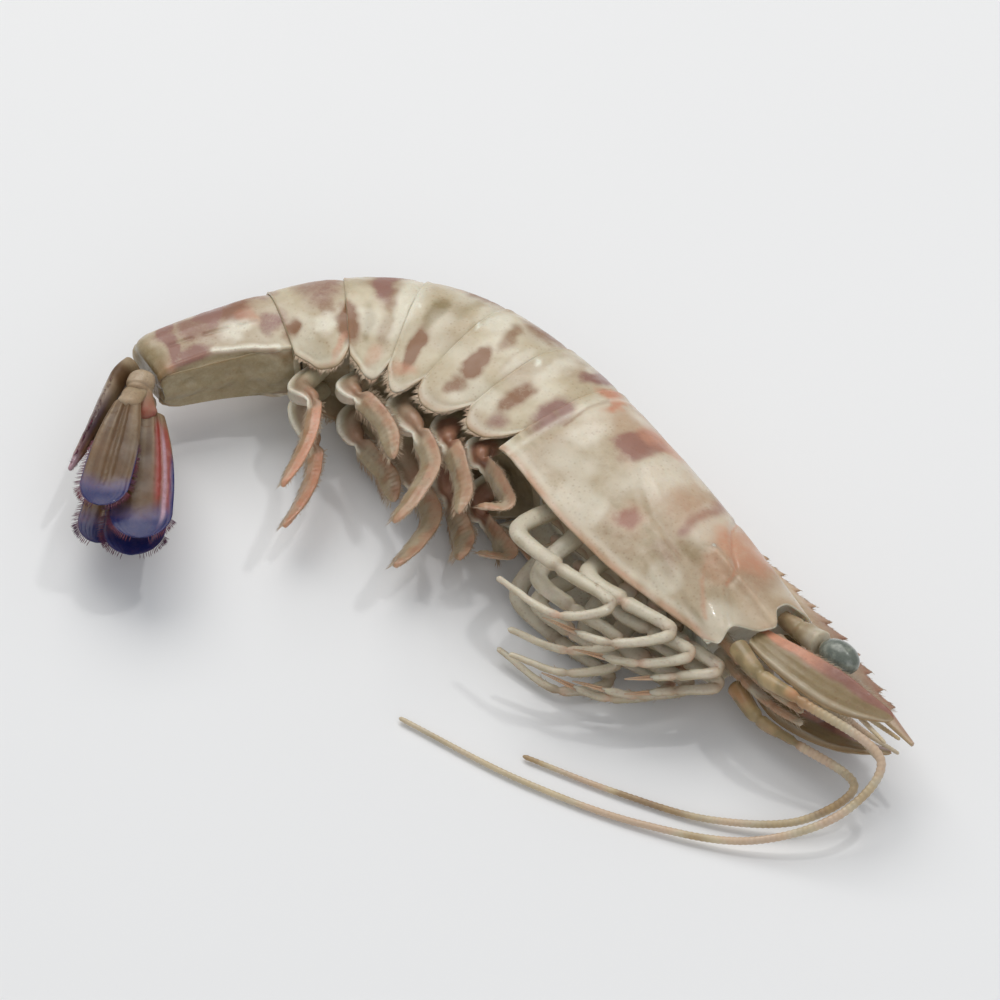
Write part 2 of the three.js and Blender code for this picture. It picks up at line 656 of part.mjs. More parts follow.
for (const spec of LEGS) {
  for (const [name, side] of SIDES) {
    place(`pereiopod_${spec.number}_${name}`, leg(spec, side), 'limb');
  }
}

// The last mouth limbs, running forward under the head.
for (const [name, side] of SIDES) {
  const stops = stopsAlong([
    bodyPoint(ORBIT - 4, 12.6, side * 1.7),
    bodyPoint(ORBIT + 3, 12.2, side * 1.6),
    bodyPoint(ORBIT + 9, 11.4, side * 1.5),
    bodyPoint(ORBIT + 14, 9.8, side * 1.3),
  ], 8, (way) => ({ wide: 1.0 - 0.6 * way, thick: 1.1 - 0.6 * way }));
  place(`maxilliped_${name}`, limb(stops, UP, 6), 'limb');
}

// ---------------------------------------------------------------- head

const EYE = { ahead: 10.4, depth: 1.7, side: 4.3, long: 3.4, round: 2.2 };
const EYESTALK = { ahead: -1.0, depth: 3.8, side: 2.2, root: 1.1, neck: 1.9 };

function plainSphere() {
  const ball = new THREE.SphereGeometry(1, 14, 9);
  for (const attribute of ['normal', 'uv']) ball.deleteAttribute(attribute);
  return ball;
}

for (const [name, side] of SIDES) {
  const centre = bodyPoint(ORBIT + EYE.ahead, EYE.depth, side * EYE.side);
  const root = bodyPoint(ORBIT + EYESTALK.ahead, EYESTALK.depth, side * EYESTALK.side);
  const aim = new THREE.Vector3().subVectors(centre, root).normalize();
  const ball = plainSphere();
  ball.scale(EYE.round, EYE.long, EYE.round);
  ball.applyQuaternion(new THREE.Quaternion().setFromUnitVectors(new THREE.Vector3(0, 1, 0), aim));
  ball.translate(centre.x, centre.y, centre.z);
  place(`eye_${name}`, solid([...ball.attributes.position.array], [[...ball.index.array]]), 'eye');
  const neck = centre.clone().addScaledVector(aim, -EYE.long - GAP);
  const stops = stopsAlong([root, neck], 4, (way) => {
    const radius = EYESTALK.root + (EYESTALK.neck - EYESTALK.root) * way;
    return { wide: radius, thick: radius };
  });
  place(`eyestalk_${name}`, limb(stops, UP, 8), 'limb');
}

// Antennal scale: a long flat blade beside the rostrum, stiff along its outer edge.
const HEAD_HEADING = backLine(ORBIT).heading;
for (const [name, side] of SIDES) {
  const stops = stopsAlong([
    bodyPoint(ORBIT + 1.3, 9.3, side * 3.8),
    bodyPoint(ORBIT + 8, 8.6, side * 5.5),
    bodyPoint(ORBIT + 17, 5.2, side * 4.8),
    bodyPoint(ORBIT + 23, 1.4, side * 3.6),
  ], 10, (way) => {
    const swell = Math.sin(Math.PI * Math.min(0.2 + 0.5 * way, 0.5));
    const point = way > 0.6 ? 1 - 0.8 * ((way - 0.6) / 0.4) ** 1.6 : 1;
    return { wide: 3.0 * swell * point, thick: 0.6 - 0.25 * way };
  });
  const across = new THREE.Vector3(-Math.sin(HEAD_HEADING), Math.cos(HEAD_HEADING), side * 0.25);
  place(`antennal_scale_${name}`, limb(stops, across.normalize(), 8), 'limb');
}

// Antenna: a jointed stalk under the scale, then a whip that curves round ahead of the head
// and lies back along the floor on the belly's side.
const WHIPS = {
  right: [
    [129.6, -8.5, 10.5], [128.4, -15.5, 6.5], [119, -23.5, 2.2], [104, -28.4, 0.9], [86, -30.6, 0.75],
    [66, -30.2, 0.7],
  ],
  left: [[126.8, -10.5, 5.4], [123.0, -17.0, 2.6], [112, -22.6, 1.0], [98, -25.4, 0.75], [84, -26.8, 0.7]],
};

for (const [name, side] of SIDES) {
  const places = [
    bodyPoint(ORBIT + 1.6, 12.6, side * 4.1),
    bodyPoint(ORBIT + 8, 12.8, side * 4.6),
    bodyPoint(ORBIT + 14, 10.8, side * 4.6),
    ...WHIPS[name].map((place3) => new THREE.Vector3(...place3)),
  ];
  const stops = stopsAlong(places, 34, (way) => {
    const radius = way < 0.14 ? 1.5 - 5 * way : 0.75 - 0.4 * way;
    return { wide: radius, thick: radius };
  });
  place(`antenna_${name}`, limb(stops, direction(60, 50), 6), 'whisker');
}

// Antennule: a stalk under the rostrum that ends in two short whips.
for (const [name, side] of SIDES) {
  const stalk = stopsAlong([
    bodyPoint(ORBIT + 1.4, 6.4, side * 1.7),
    bodyPoint(ORBIT + 8, 6.0, side * 1.8),
    bodyPoint(ORBIT + 15, 4.0, side * 1.9),
  ], 5, (way) => ({ wide: 1.25 - 0.45 * way, thick: 1.35 - 0.5 * way }));
  const whip = (depth, out) => limb(stopsAlong([
    bodyPoint(ORBIT + 14, 4.1, side * 1.9),
    bodyPoint(ORBIT + 19, 3.6 + depth * 0.4, side * (1.9 + out * 0.4)),
    bodyPoint(ORBIT + 25, 2.6 + depth, side * (1.9 + out)),
  ], 6, (way) => ({ wide: 0.5 - 0.25 * way, thick: 0.5 - 0.25 * way })), UP, 6);
  place(`antennule_${name}`, fuse(limb(stalk, UP, 8), whip(-0.9, -0.4), whip(1.6, 0.5)), 'whisker');
}

export default prawn;
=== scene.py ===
"""The visible surfaces of a raw caramote prawn, built round its CAD frame, and the stage for its picture.

Places on the body are given as a station along the back's line from the tail joint, a depth below
that line and a side to the right of the middle plane, all in millimetres.
"""

import bpy
import numpy as np
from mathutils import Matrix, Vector


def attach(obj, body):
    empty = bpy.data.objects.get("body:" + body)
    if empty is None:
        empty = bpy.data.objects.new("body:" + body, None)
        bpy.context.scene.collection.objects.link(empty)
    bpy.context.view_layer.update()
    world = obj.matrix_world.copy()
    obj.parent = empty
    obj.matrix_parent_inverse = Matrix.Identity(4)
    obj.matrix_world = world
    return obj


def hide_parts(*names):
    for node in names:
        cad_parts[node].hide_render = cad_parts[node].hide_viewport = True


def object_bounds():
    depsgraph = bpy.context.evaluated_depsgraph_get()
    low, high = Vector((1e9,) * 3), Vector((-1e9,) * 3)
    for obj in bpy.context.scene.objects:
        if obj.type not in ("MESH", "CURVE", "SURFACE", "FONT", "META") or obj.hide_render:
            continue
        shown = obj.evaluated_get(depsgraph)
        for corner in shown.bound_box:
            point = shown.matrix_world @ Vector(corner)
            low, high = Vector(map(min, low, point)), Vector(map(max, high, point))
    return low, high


bl_info = {
    "name": "Caramote Prawn",
    "version": (1, 0, 0),
    "blender": (4, 5, 0),
    "location": "3D View > Sidebar > Prawn",
    "description": "Builds a raw prawn's shell, limbs and bristles on its CAD frame, and a stage",
    "category": "Object",
}

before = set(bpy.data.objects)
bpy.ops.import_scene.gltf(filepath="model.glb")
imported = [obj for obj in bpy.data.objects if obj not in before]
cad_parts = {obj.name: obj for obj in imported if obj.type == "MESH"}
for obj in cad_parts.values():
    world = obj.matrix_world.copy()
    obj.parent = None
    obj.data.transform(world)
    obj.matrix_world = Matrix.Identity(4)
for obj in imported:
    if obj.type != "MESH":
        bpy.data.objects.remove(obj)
CAD_BOX = [[float(value) for value in corner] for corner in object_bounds()]

MM = 0.001

# ---------------- the body's line and tables

# The line of the back from the tail joint forward: each part, its length and its bend in degrees.
TAIL_HEADING = 63.7
BACK_LINE = (
    ("somite_6", 23, -14), ("somite_5", 11.5, -15), ("somite_4", 13, -21), ("somite_3", 14, -21),
    ("somite_2", 12, -8), ("somite_1", 11.8, -8), ("carapace", 43, -5), ("rostrum", 26, 5),
)

# Sizes along that line: (station, value).
HALF_WIDTH = (
    (0, 4.2), (12, 5.0), (23, 6.4), (29, 7.5), (41, 8.7), (54, 9.8), (67, 10.2), (79, 10.2),
    (86, 10.2), (98, 10.3), (110, 9.4), (120, 7.8), (128, 5.9), (132, 5.2),
)
WIDEST_DEPTH = (
    (0, 5.3), (12, 6.3), (23, 7.8), (29, 9.3), (41, 11.0), (54, 12.3), (67, 12.5), (79, 11.8),
    (86, 11.6), (98, 11.9), (110, 11.0), (120, 9.2), (128, 7.4), (132, 6.8),
)
SIDE_REACH = (
    (0, 10.9), (12, 12.6), (22, 14.8), (23.5, 18.4), (29, 20.0), (41, 23.4), (54, 25.6), (67, 25.6),
    (79, 23.8), (86, 23.0), (98, 23.5), (110, 22.2), (120, 19.2), (128, 16.2), (132, 15.4),
)
UNDERSIDE_DEPTH = (
    (0, 10.5), (12, 12.2), (21, 14.3), (23, 14.1), (29, 15.0), (41, 17.0), (54, 18.4), (67, 18.4),
    (79, 17.4), (86, 17.0), (98, 17.4), (110, 16.4), (120, 14.4), (128, 12.2), (132, 11.6),
)
MID_HEIGHT = 9.9          # height of the middle plane above the floor
CROWN_POWER = 2.3         # how square the back's arch is
SIDE_TUCK = 0.17          # how far the sides come in towards their lower edge
SIDE_WALL = 1.6           # how far in the belly's flesh begins
KEEL_DROP = 0.5           # how much deeper the underside is along its middle
LAP = 1.6                 # how far a plate reaches over the one behind it
CARAPACE_LAP = 2.2
GAP = 0.35
LIP_PROUD = 0.35          # how far a plate's rear edge stands above the next plate
VISIBLE_RISE = 4.0        # the length over which a plate comes up to its full surface
LOBE_RISE = 3.2           # how far a side flap's corners rise above its lowest point
LAST_LOBE_RISE = 0.5
RINGS = 6
FLOOR_CENTRE = np.array([66.0, 0.1, 0.0])
SIDES = (("right", 1), ("left", -1))
FLOOR_SOFTNESS = 0.3      # the height over which the side that lies down turns flat


def stretch(start, leave, end, arrive, t):
    """Values at shares t between two ends, with the slopes at which the stretch leaves and arrives."""
    return (
        start * (2 * t**3 - 3 * t**2 + 1) + leave * (t**3 - 2 * t**2 + t)
        + end * (3 * t**2 - 2 * t**3) + arrive * (t**3 - t**2)
    )


def along(table, station):
    """Smooth values at stations from a table of (station, value)."""
    places, values = np.array(table, float).T
    slope = np.diff(values) / np.diff(places)
    product = slope[:-1] * slope[1:]
    total = np.where(product > 0, slope[:-1] + slope[1:], 1)
    inner = np.where(product > 0, 2 * product / total, 0)
    tangent = np.concatenate(([slope[0]], inner, [slope[-1]]))
    station = np.clip(station, places[0], places[-1])
    i = np.clip(np.searchsorted(places, station, side="right") - 1, 0, len(places) - 2)
    step = places[i + 1] - places[i]
    t = (station - places[i]) / step
    return stretch(values[i], tangent[i] * step, values[i + 1], tangent[i + 1] * step, t)


def make_arcs():
    """The arcs of the back's line as (start, heading, x, y, curve), and where each part ends."""
    arcs = []
    joints = {}
    start, heading, x, y = 0.0, np.radians(TAIL_HEADING), 0.0, 0.0
    for part, length, bend in BACK_LINE:
        curve = np.radians(bend) / length
        arcs.append((start, heading, x, y, curve))
        x += (np.sin(heading + curve * length) - np.sin(heading)) / curve
        y -= (np.cos(heading + curve * length) - np.cos(heading)) / curve
        heading += curve * length
        start += length
        joints[part] = start
    return np.array(arcs), joints


ARCS, JOINT = make_arcs()
ORBIT = JOINT["carapace"]
ROSTRUM_TIP = JOINT["rostrum"]
CARAPACE_REAR = JOINT["somite_1"]


def back_line(station):
    """Points of the back's line at stations, and the headings there."""
    station = np.asarray(station, float)
    i = np.clip(np.searchsorted(ARCS[:, 0], station, side="right") - 1, 0, len(ARCS) - 1)
    start, heading, x, y, curve = np.moveaxis(ARCS[i], -1, 0)
    turned = heading + curve * (station - start)
    return (
        x + (np.sin(turned) - np.sin(heading)) / curve,
        y - (np.cos(turned) - np.cos(heading)) / curve,
        turned,
    )


def body_point(station, depth, side):
    """Points of the body. The left side is flattened where it meets the floor."""
    x, y, heading = back_line(station)
    height = MID_HEIGHT + side
    height = 0.5 * (height + np.sqrt(height**2 + FLOOR_SOFTNESS**2))
    return np.stack(
        np.broadcast_arrays(x + np.sin(heading) * depth, y - np.cos(heading) * depth, height), -1
    )


# ---------------- shaping helpers

LATTICE_SIDE = 32
LATTICE = np.random.default_rng(7).random((LATTICE_SIDE, LATTICE_SIDE, LATTICE_SIDE))
SEED_STEP = 7.3           # how far apart in the lattice two seeds look
CURVE_STEPS = 60          # fine steps from one place of a curve to the next
BLUNTEST = 0.04           # the least share of its size that a tube keeps at its ends
TINY = 1e-9


def ease(t):
    """0 to 1 with soft ends."""
    return t * t * (3 - 2 * t)


def noise(points, size, seed=0.0):
    """Smooth noise from -1 to 1 at points, with swells about that size."""
    scaled = points / size + seed * SEED_STEP
    cell = np.floor(scaled).astype(int)
    t = ease(scaled - cell)
    total = 0.0
    for corner in np.ndindex(2, 2, 2):
        index = (cell + corner) % LATTICE_SIDE
        weight = np.prod(np.where(np.array(corner, bool), t, 1 - t), axis=-1)
        total = total + weight * LATTICE[index[..., 0], index[..., 1], index[..., 2]]
    return 2 * total - 1


def ramp(value, low, high):
    """0 at low and 1 at high, with soft ends."""
    return ease(np.clip((value - low) / (high - low), 0, 1))


def bump(value, width):
    """A smooth hump, 1 at nought."""
    return np.exp(-(value / width) ** 2)


def nearness(station, depth, path, width):
    """1 on a path of (station, depth) places, falling off over its width."""
    least = np.full(np.broadcast(station, depth).shape, np.inf)
    for (s0, d0), (s1, d1) in zip(path[:-1], path[1:]):
        ds, dd = s1 - s0, d1 - d0
        t = np.clip(((station - s0) * ds + (depth - d0) * dd) / (ds * ds + dd * dd), 0, 1)
        least = np.minimum(least, np.hypot(station - s0 - ds * t, depth - d0 - dd * t))
    return bump(least, width)


def unit(vectors):
    """The vectors at length one."""
    return vectors / np.maximum(np.linalg.norm(vectors, axis=-1, keepdims=True), TINY)


def outward(points):
    """Unit normals of a grid whose columns close on themselves."""
    across = np.roll(points, -1, axis=1) - np.roll(points, 1, axis=1)
    ahead = np.gradient(points, axis=0)
    return unit(np.cross(across, ahead))


def swollen(points, height):
    """A grid with each point moved outward by its height."""
    return points + outward(points) * height[..., None]


def curve_through(places, count):
    """Evenly spaced points on a smooth curve through places, its length, and each point's share of it."""
    places = np.array(places, float)
    ends = np.vstack([2 * places[0] - places[1], places, 2 * places[-1] - places[-2]])
    fine = []
    for p0, p1, p2, p3 in zip(ends[:-3], ends[1:-2], ends[2:-1], ends[3:]):
        g0, g1, g2 = (np.sqrt(np.linalg.norm(b - a)) for a, b in ((p0, p1), (p1, p2), (p2, p3)))
        leave = ((p1 - p0) / g0 - (p2 - p0) / (g0 + g1) + (p2 - p1) / g1) * g1
        arrive = ((p2 - p1) / g1 - (p3 - p1) / (g1 + g2) + (p3 - p2) / g2) * g1
        t = np.linspace(0, 1, CURVE_STEPS, endpoint=False)[:, None]
        fine.append(stretch(p1, leave, p2, arrive, t))
    fine = np.vstack([*fine, places[-1]])
    run = np.concatenate(([0], np.cumsum(np.linalg.norm(np.diff(fine, axis=0), axis=1))))
    wanted = np.linspace(0, run[-1], count)
    points = np.stack([np.interp(wanted, run, fine[:, k]) for k in range(3)], -1)
    return points, run[-1], np.linspace(0, 1, count)


def way_of(route, place):
    """How far along a route, from 0 to 1, it comes nearest to a place."""
    return np.argmin(np.linalg.norm(route - place, axis=1)) / (len(route) - 1)


def round_ends(way, total, start, end):
    """Size factors that round off a tube's two ends over the given lengths. An end of 0 stays as it is."""
    near = np.clip(way * total / start, 0, 1)
    far = np.clip((1 - way) * total / end, 0, 1) if end else 1.0
    return np.maximum(np.sqrt(1 - (1 - near) ** 2) * np.sqrt(1 - (1 - far) ** 2), BLUNTEST)


def column_angles(sides):
    """The angles of a tube's columns, from its wider way."""
    return (np.arange(sides) + 0.5) / sides * 2 * np.pi


def tube(route, wide, thick, across, sides):
    """A grid of points round a route; "across" is the direction of the wider way."""
    ahead = unit(np.gradient(route, axis=0))
    across = np.broadcast_to(np.asarray(across, float), route.shape)
    width = unit(across - ahead * np.sum(across * ahead, axis=1, keepdims=True))
    height = np.cross(ahead, width)
    angle = column_angles(sides)
    wide = np.broadcast_to(wide, route.shape[:1])[:, None, None]
    thick = np.broadcast_to(thick, route.shape[:1])[:, None, None]
    return (
        route[:, None]
        + width[:, None] * wide * np.cos(angle)[None, :, None]
        + height[:, None] * thick * np.sin(angle)[None, :, None]
    )


def tube_places(way, sides):
    """Each point's place on a tube, from -1 to 1: across its wider way, and facing its thinner way."""
    angle = column_angles(sides)
    level = 0 * way[:, None]
    return np.cos(angle)[None, :] + level, np.sin(angle)[None, :] + level


def direction(heading, rise=0):
    """A direction from its heading in the level plane and its rise above it, in degrees."""
    h, r = np.radians(heading), np.radians(rise)
    return np.array([np.cos(h) * np.cos(r), np.sin(h) * np.cos(r), np.sin(r)])


# ---------------- patches and pieces


SKIN = 0                  # a piece's first material, and the one of its bristles
HAIR = 1
HAIR_SIDES = 3
HAIR_RINGS = ((-0.12, 1.0), (0.5, 0.62))    # shares of a bristle's length, and of its radius there


def grid_patch(points, masks):
    """Faces over a grid of rows by columns; the columns close on themselves, both ends are shut."""
    shape = points.shape[:2]
    index = np.arange(shape[0] * shape[1]).reshape(shape)
    ahead = np.roll(index, -1, axis=1)
    quads = np.stack([index[:-1], ahead[:-1], ahead[1:], index[1:]], axis=-1).reshape(-1, 4)
    faces = quads.tolist()
    faces.append(index[0, ::-1].tolist())
    faces.append(index[-1].tolist())
    masks = {name: np.broadcast_to(value, shape).ravel() for name, value in masks.items()}
    return {"points": points.reshape(-1, 3), "faces": faces, "masks": masks, "material": SKIN}


def hair_patch(roots, aims, lengths, radius, droop=0.0):
    """Tapered three-sided bristles that bend a little towards the floor."""
    count = len(roots)
    aims = unit(aims)
    lengths = np.broadcast_to(lengths, (count,))[:, None]
    guide = np.where(np.abs(aims[:, 2:]) < 0.9, [[0, 0, 1.0]], [[1.0, 0, 0]])
    u = unit(np.cross(guide, aims))
    v = np.cross(aims, u)
    down = np.array([[0, 0, -1.0]])
    rings = []
    for share, size in HAIR_RINGS:
        centre = roots + aims * lengths * share + down * lengths * droop * max(share, 0) ** 2
        for k in range(HAIR_SIDES):
            angle = k * 2 * np.pi / HAIR_SIDES
            rings.append(centre + (u * np.cos(angle) + v * np.sin(angle)) * radius * size)
    tip = roots + aims * lengths + down * lengths * droop
    points = np.stack([*rings, tip], axis=1)
    first = np.arange(count)[:, None, None] * points.shape[1]
    edges = [(k, (k + 1) % HAIR_SIDES) for k in range(HAIR_SIDES)]
    quads = np.array([[a, b, b + HAIR_SIDES, a + HAIR_SIDES] for a, b in edges])
    tips = np.array([[a + HAIR_SIDES, b + HAIR_SIDES, 2 * HAIR_SIDES] for a, b in edges])
    faces = (first + quads[None]).reshape(-1, 4).tolist() + (first + tips[None]).reshape(-1, 3).tolist()
    return {"points": points.reshape(-1, 3), "faces": faces, "masks": {}, "material": HAIR}


def sown_bristles(points, row, column, aims, spread, shares, slim, size, rng):
    """Bristles on a grid's points, their aims spread at random, their lengths between two shares."""
    aims = aims + rng.normal(0, spread, (len(row), 3))
    lengths = size["bristle"] * rng.uniform(*shares, len(row))
    return hair_patch(points[row, column], aims, lengths, size["bristle_radius"] * slim)


def place_points(points):
    """Millimetres past the tail joint to metres in the shared frame, kept inside the CAD's box."""
    placed = (points - FLOOR_CENTRE) * MM
    return np.clip(placed, CAD_BOX[0], CAD_BOX[1])


def add_object(name, data):
    """A new object in the scene."""
    made = bpy.data.objects.new(name, data)
    bpy.context.scene.collection.objects.link(made)
    return made


def make_piece(node, slot, patches):
    """One object from patches, standing for a CAD node, with its slot's looks."""
    name = f"{node}_surface"
    mesh = bpy.data.meshes.new(name)
    points = []
    faces = []
    material_index = []
    start = 0
    for patch in patches:
        points.append(patch["points"])
        faces += [[start + i for i in face] for face in patch["faces"]]
        material_index += [patch["material"]] * len(patch["faces"])
        start += len(patch["points"])
    mesh.from_pydata(place_points(np.concatenate(points)).tolist(), [], faces)
    mask_names = sorted({mask for patch in patches for mask in patch["masks"]})
    for mask in mask_names:
        values = [
            patch["masks"].get(mask, np.zeros(len(patch["points"]))) for patch in patches
        ]
        layer = mesh.attributes.new(mask, "FLOAT", "POINT")
        layer.data.foreach_set("value", np.concatenate(values).astype(np.float32))
    kinds = 1 + max(patch["material"] for patch in patches)
    for make_material in LOOKS[slot][:kinds]:
        mesh.materials.append(make_material())
    mesh.polygons.foreach_set("material_index", material_index)
    mesh.shade_smooth()
    mesh.update()
    if mesh.validate():
        raise RuntimeError(f"{name} has faces that don't hold together")
    piece = add_object(name, mesh)
    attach(piece, "root")
    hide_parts(node)


# ---------------- sizes and colours


def linear(red, green, blue):
    """A colour given as the 0 to 255 values seen in a picture, as linear values."""
    seen = np.array([red, green, blue]) / 255
    values = np.where(seen <= 0.04045, seen / 12.92, ((seen + 0.055) / 1.055) ** 2.4)
    return tuple(float(value) for value in values)


def colour(name, description, seen):
    """A colour property with its default as seen in a picture."""
    return bpy.props.FloatVectorProperty(
        name=name, description=description, default=linear(*seen), size=3, min=0.0, max=1.0,
        subtype="COLOR",
    )


def length(name, description, millimetres):
    """A length property with its default in millimetres."""
    return bpy.props.FloatProperty(
        name=name, description=description, default=millimetres * MM, min=0.0, precision=5,
        subtype="DISTANCE", unit="LENGTH",
    )


class PrawnSizes(bpy.types.PropertyGroup):
    """Sizes of the surface detail."""

    edge_radius: length("Flap edge", "Radius of a side flap's rolled lower edge", 0.26)
    skin_inset: length("Skin inset", "How far the smooth surface lies inside the solid", 0.12)
    wrinkle: length("Wrinkles", "Height of the shell's wrinkles and dents", 0.055)
    groove: length("Grooves", "Depth of the shell's grooves", 0.2)
    bristle: length("Bristle length", "Usual length of a bristle on an edge", 1.5)
    bristle_radius: length("Bristle radius", "Radius of a bristle at its root", 0.055)


class PrawnColours(bpy.types.PropertyGroup):
    """Colours of the shell, limbs and stage."""

    cream: colour("Cream", "Pale shell over light flesh", (210, 199, 172))
    shade: colour("Shade", "Shell over darker flesh", (176, 157, 126))
    # Brown also darkens the rings' belly, as painted shade.
    brown: colour("Brown", "Blotches along the sides", (132, 90, 54))
    mauve: colour("Mauve", "Bands over the back and cheek", (142, 102, 88))
    orange: colour("Orange", "Warm blotches and edges", (196, 138, 108))
    # Olive also paints shade on the rings' belly and the legs' lower sides.
    olive: colour("Olive", "Greenish and tan parts", (140, 122, 84))
    # Pale also paints light: a highlight on the carapace's side, highlights along the swimming limbs'
    # ridges, the legs' upper sides, and the parts off the carapace's face.
    pale: colour("Pale", "White flecks and ridges", (232, 226, 208))
    fan_base: colour("Fan", "Olive brown of the tail blades", (74, 55, 37))
    fan_tan: colour("Fan streaks", "Tan streaks along the tail blades", (108, 79, 50))
    red: colour("Fan margin", "Red strip along a tail blade's outer edge", (140, 54, 44))
    violet: colour("Violet", "Lavender band before the tail blades' tips", (78, 72, 116))
    navy: colour("Blue", "Blue tips of the tail blades", (26, 34, 88))
    # The ridge colour paints a highlight along the outer blades' ridges, and is the own pink of the telson's
    # tip and the blade bases.
    ridge: colour("Ridge", "Pinkish ridge beside the red strip", (190, 160, 172))
    limb: colour("Limb", "Pale limbs", (190, 180, 152))
    limb_shade: colour("Limb shade", "Greyer parts of the limbs", (148, 135, 110))
    limb_red: colour("Limb red", "Dark red patches on the swimming limbs", (124, 66, 54))
    whisker: colour("Feeler", "Straw feelers", (214, 186, 124))
    whisker_band: colour("Feeler bands", "Pinkish bands of the feelers", (190, 122, 84))
    eye: colour("Eye", "Dark grey green of the eyes", (106, 112, 102))
    # The eye patches are painted sheen.
    eye_sheen: colour("Eye patches", "Lighter patches of the eyes", (156, 160, 146))
    bristle: colour("Bristle", "Bristles on the edges", (168, 122, 92))
    floor: colour("Floor", "Plain floor", (236, 236, 236))


def sizes_mm():
    """The size settings in millimetres, by name."""
    settings = bpy.context.scene.prawn_sizes
    return {name: getattr(settings, name) / MM for name in PrawnSizes.__annotations__}


# ---------------- materials


def add_node(tree, kind, place, **settings):
    """A node at a place in the tree, with its settings. Inputs are given as a dict."""
    made = tree.nodes.new(kind)
    made.location = place
    inputs = settings.pop("inputs", {})
    for key, value in settings.items():
        setattr(made, key, value)
    for key, value in inputs.items():
        made.inputs[key].default_value = value
    return made


def maths(tree, operation, first, second, place, clamp=False):
    """A math node fed by sockets or numbers. Returns its output."""
    made = add_node(tree, "ShaderNodeMath", place, operation=operation, use_clamp=clamp)
    for socket, value in zip(made.inputs, (first, second)):
        if isinstance(value, bpy.types.NodeSocket):
            tree.links.new(value, socket)
        else:
            socket.default_value = value
    return made.outputs[0]


def mix(tree, factor, first, second, place):
    """A mix of two colours, each a socket or a value, by a factor's socket. Returns its output."""
    made = add_node(tree, "ShaderNodeMix", place, data_type="RGBA")
    tree.links.new(factor, made.inputs["Factor"])
    for socket, value in zip(made.inputs[6:8], (first, second)):
        if isinstance(value, bpy.types.NodeSocket):
            tree.links.new(value, socket)
        else:
            socket.default_value = (*value, 1.0)
    return made.outputs[2]


def remap(tree, value, low, high, to_low, to_high, place):
    """A socket's value between low and high, moved to between two others. Returns its output."""
    made = add_node(
        tree, "ShaderNodeMapRange", place,
        inputs={"From Min": low, "From Max": high, "To Min": to_low, "To Max": to_high},
    )
    tree.links.new(value, made.inputs["Value"])
    return made.outputs[0]


def new_group(name, inputs, outputs):
    """An empty shader node group with named inputs and outputs."""
    group = bpy.data.node_groups.new(name, "ShaderNodeTree")
    for label, kind, default in inputs:
        socket = group.interface.new_socket(label, in_out="INPUT", socket_type=f"NodeSocket{kind}")
        if default is not None:
            socket.default_value = default
    for label, kind in outputs:
        group.interface.new_socket(label, in_out="OUTPUT", socket_type=f"NodeSocket{kind}")
    return group


STAIN_COUNT = 5


def stained_skin():
    """The group that lays five stains over mottled flesh, with ragged edges and fine specks."""
    name = "Stained Skin"
    if name in bpy.data.node_groups:
        return bpy.data.node_groups[name]
    inputs = [("Light", "Color", None), ("Shade", "Color", None)]
    for i in range(1, STAIN_COUNT + 1):
        inputs.append((f"Stain {i}", "Color", None))
        inputs.append((f"Mask {i}", "Float", 0.0))
    inputs.append(("Speck", "Color", None))
    group = new_group(name, inputs, [("Color", "Color")])
    links = group.links
    given = add_node(group, "NodeGroupInput", (-1600, 0))
    place = add_node(group, "ShaderNodeTexCoord", (-1600, -500)).outputs["Object"]

    def cloud(scale, detail, spot):
        texture = add_node(
            group, "ShaderNodeTexNoise", spot,
            inputs={"Scale": scale, "Detail": detail, "Roughness": 0.6},
        )
        links.new(place, texture.inputs["Vector"])
        return texture.outputs["Fac"]

    broad = cloud(150.0, 3.0, (-1300, -300))
    fine = cloud(900.0, 4.0, (-1300, -550))
    grain = cloud(3200.0, 2.0, (-1300, -800))
    contrast = remap(group, broad, 0.3, 0.7, 0.0, 1.0, (-1100, -300))
    mottle = maths(group, "ADD", maths(group, "MULTIPLY", contrast, 0.6, (-900, -300)),
                   maths(group, "MULTIPLY", fine, 0.4, (-900, -450)), (-700, -300), True)
    tone = mix(group, mottle, given.outputs["Light"], given.outputs["Shade"], (-500, 0))
    ragged = maths(group, "ADD", maths(group, "MULTIPLY", fine, 0.9, (-900, -600)),
                   maths(group, "MULTIPLY", grain, 0.5, (-900, -750)), (-700, -600))
    for i in range(1, STAIN_COUNT + 1):
        strength = maths(group, "MULTIPLY", given.outputs[f"Mask {i}"],
                         maths(group, "ADD", ragged, 0.3, (-500, -200 * i)), (-350, -200 * i), True)
        tone = mix(group, strength, tone, given.outputs[f"Stain {i}"], (-200 + 150 * i, 0))
    dots = add_node(
        group, "ShaderNodeTexVoronoi", (-1300, -1100), inputs={"Scale": 1500.0, "Randomness": 1.0},
    )
    links.new(place, dots.inputs["Vector"])
    speck = remap(group, dots.outputs["Distance"], 0.12, 0.34, 0.3, 0.0, (-1000, -1100))
    masked = maths(group, "MULTIPLY", speck, contrast, (-800, -1100))
    tone = mix(group, masked, tone, given.outputs["Speck"], (750, 0))
    result = add_node(group, "NodeGroupOutput", (1000, 0))
    links.new(tone, result.inputs["Color"])
    return group


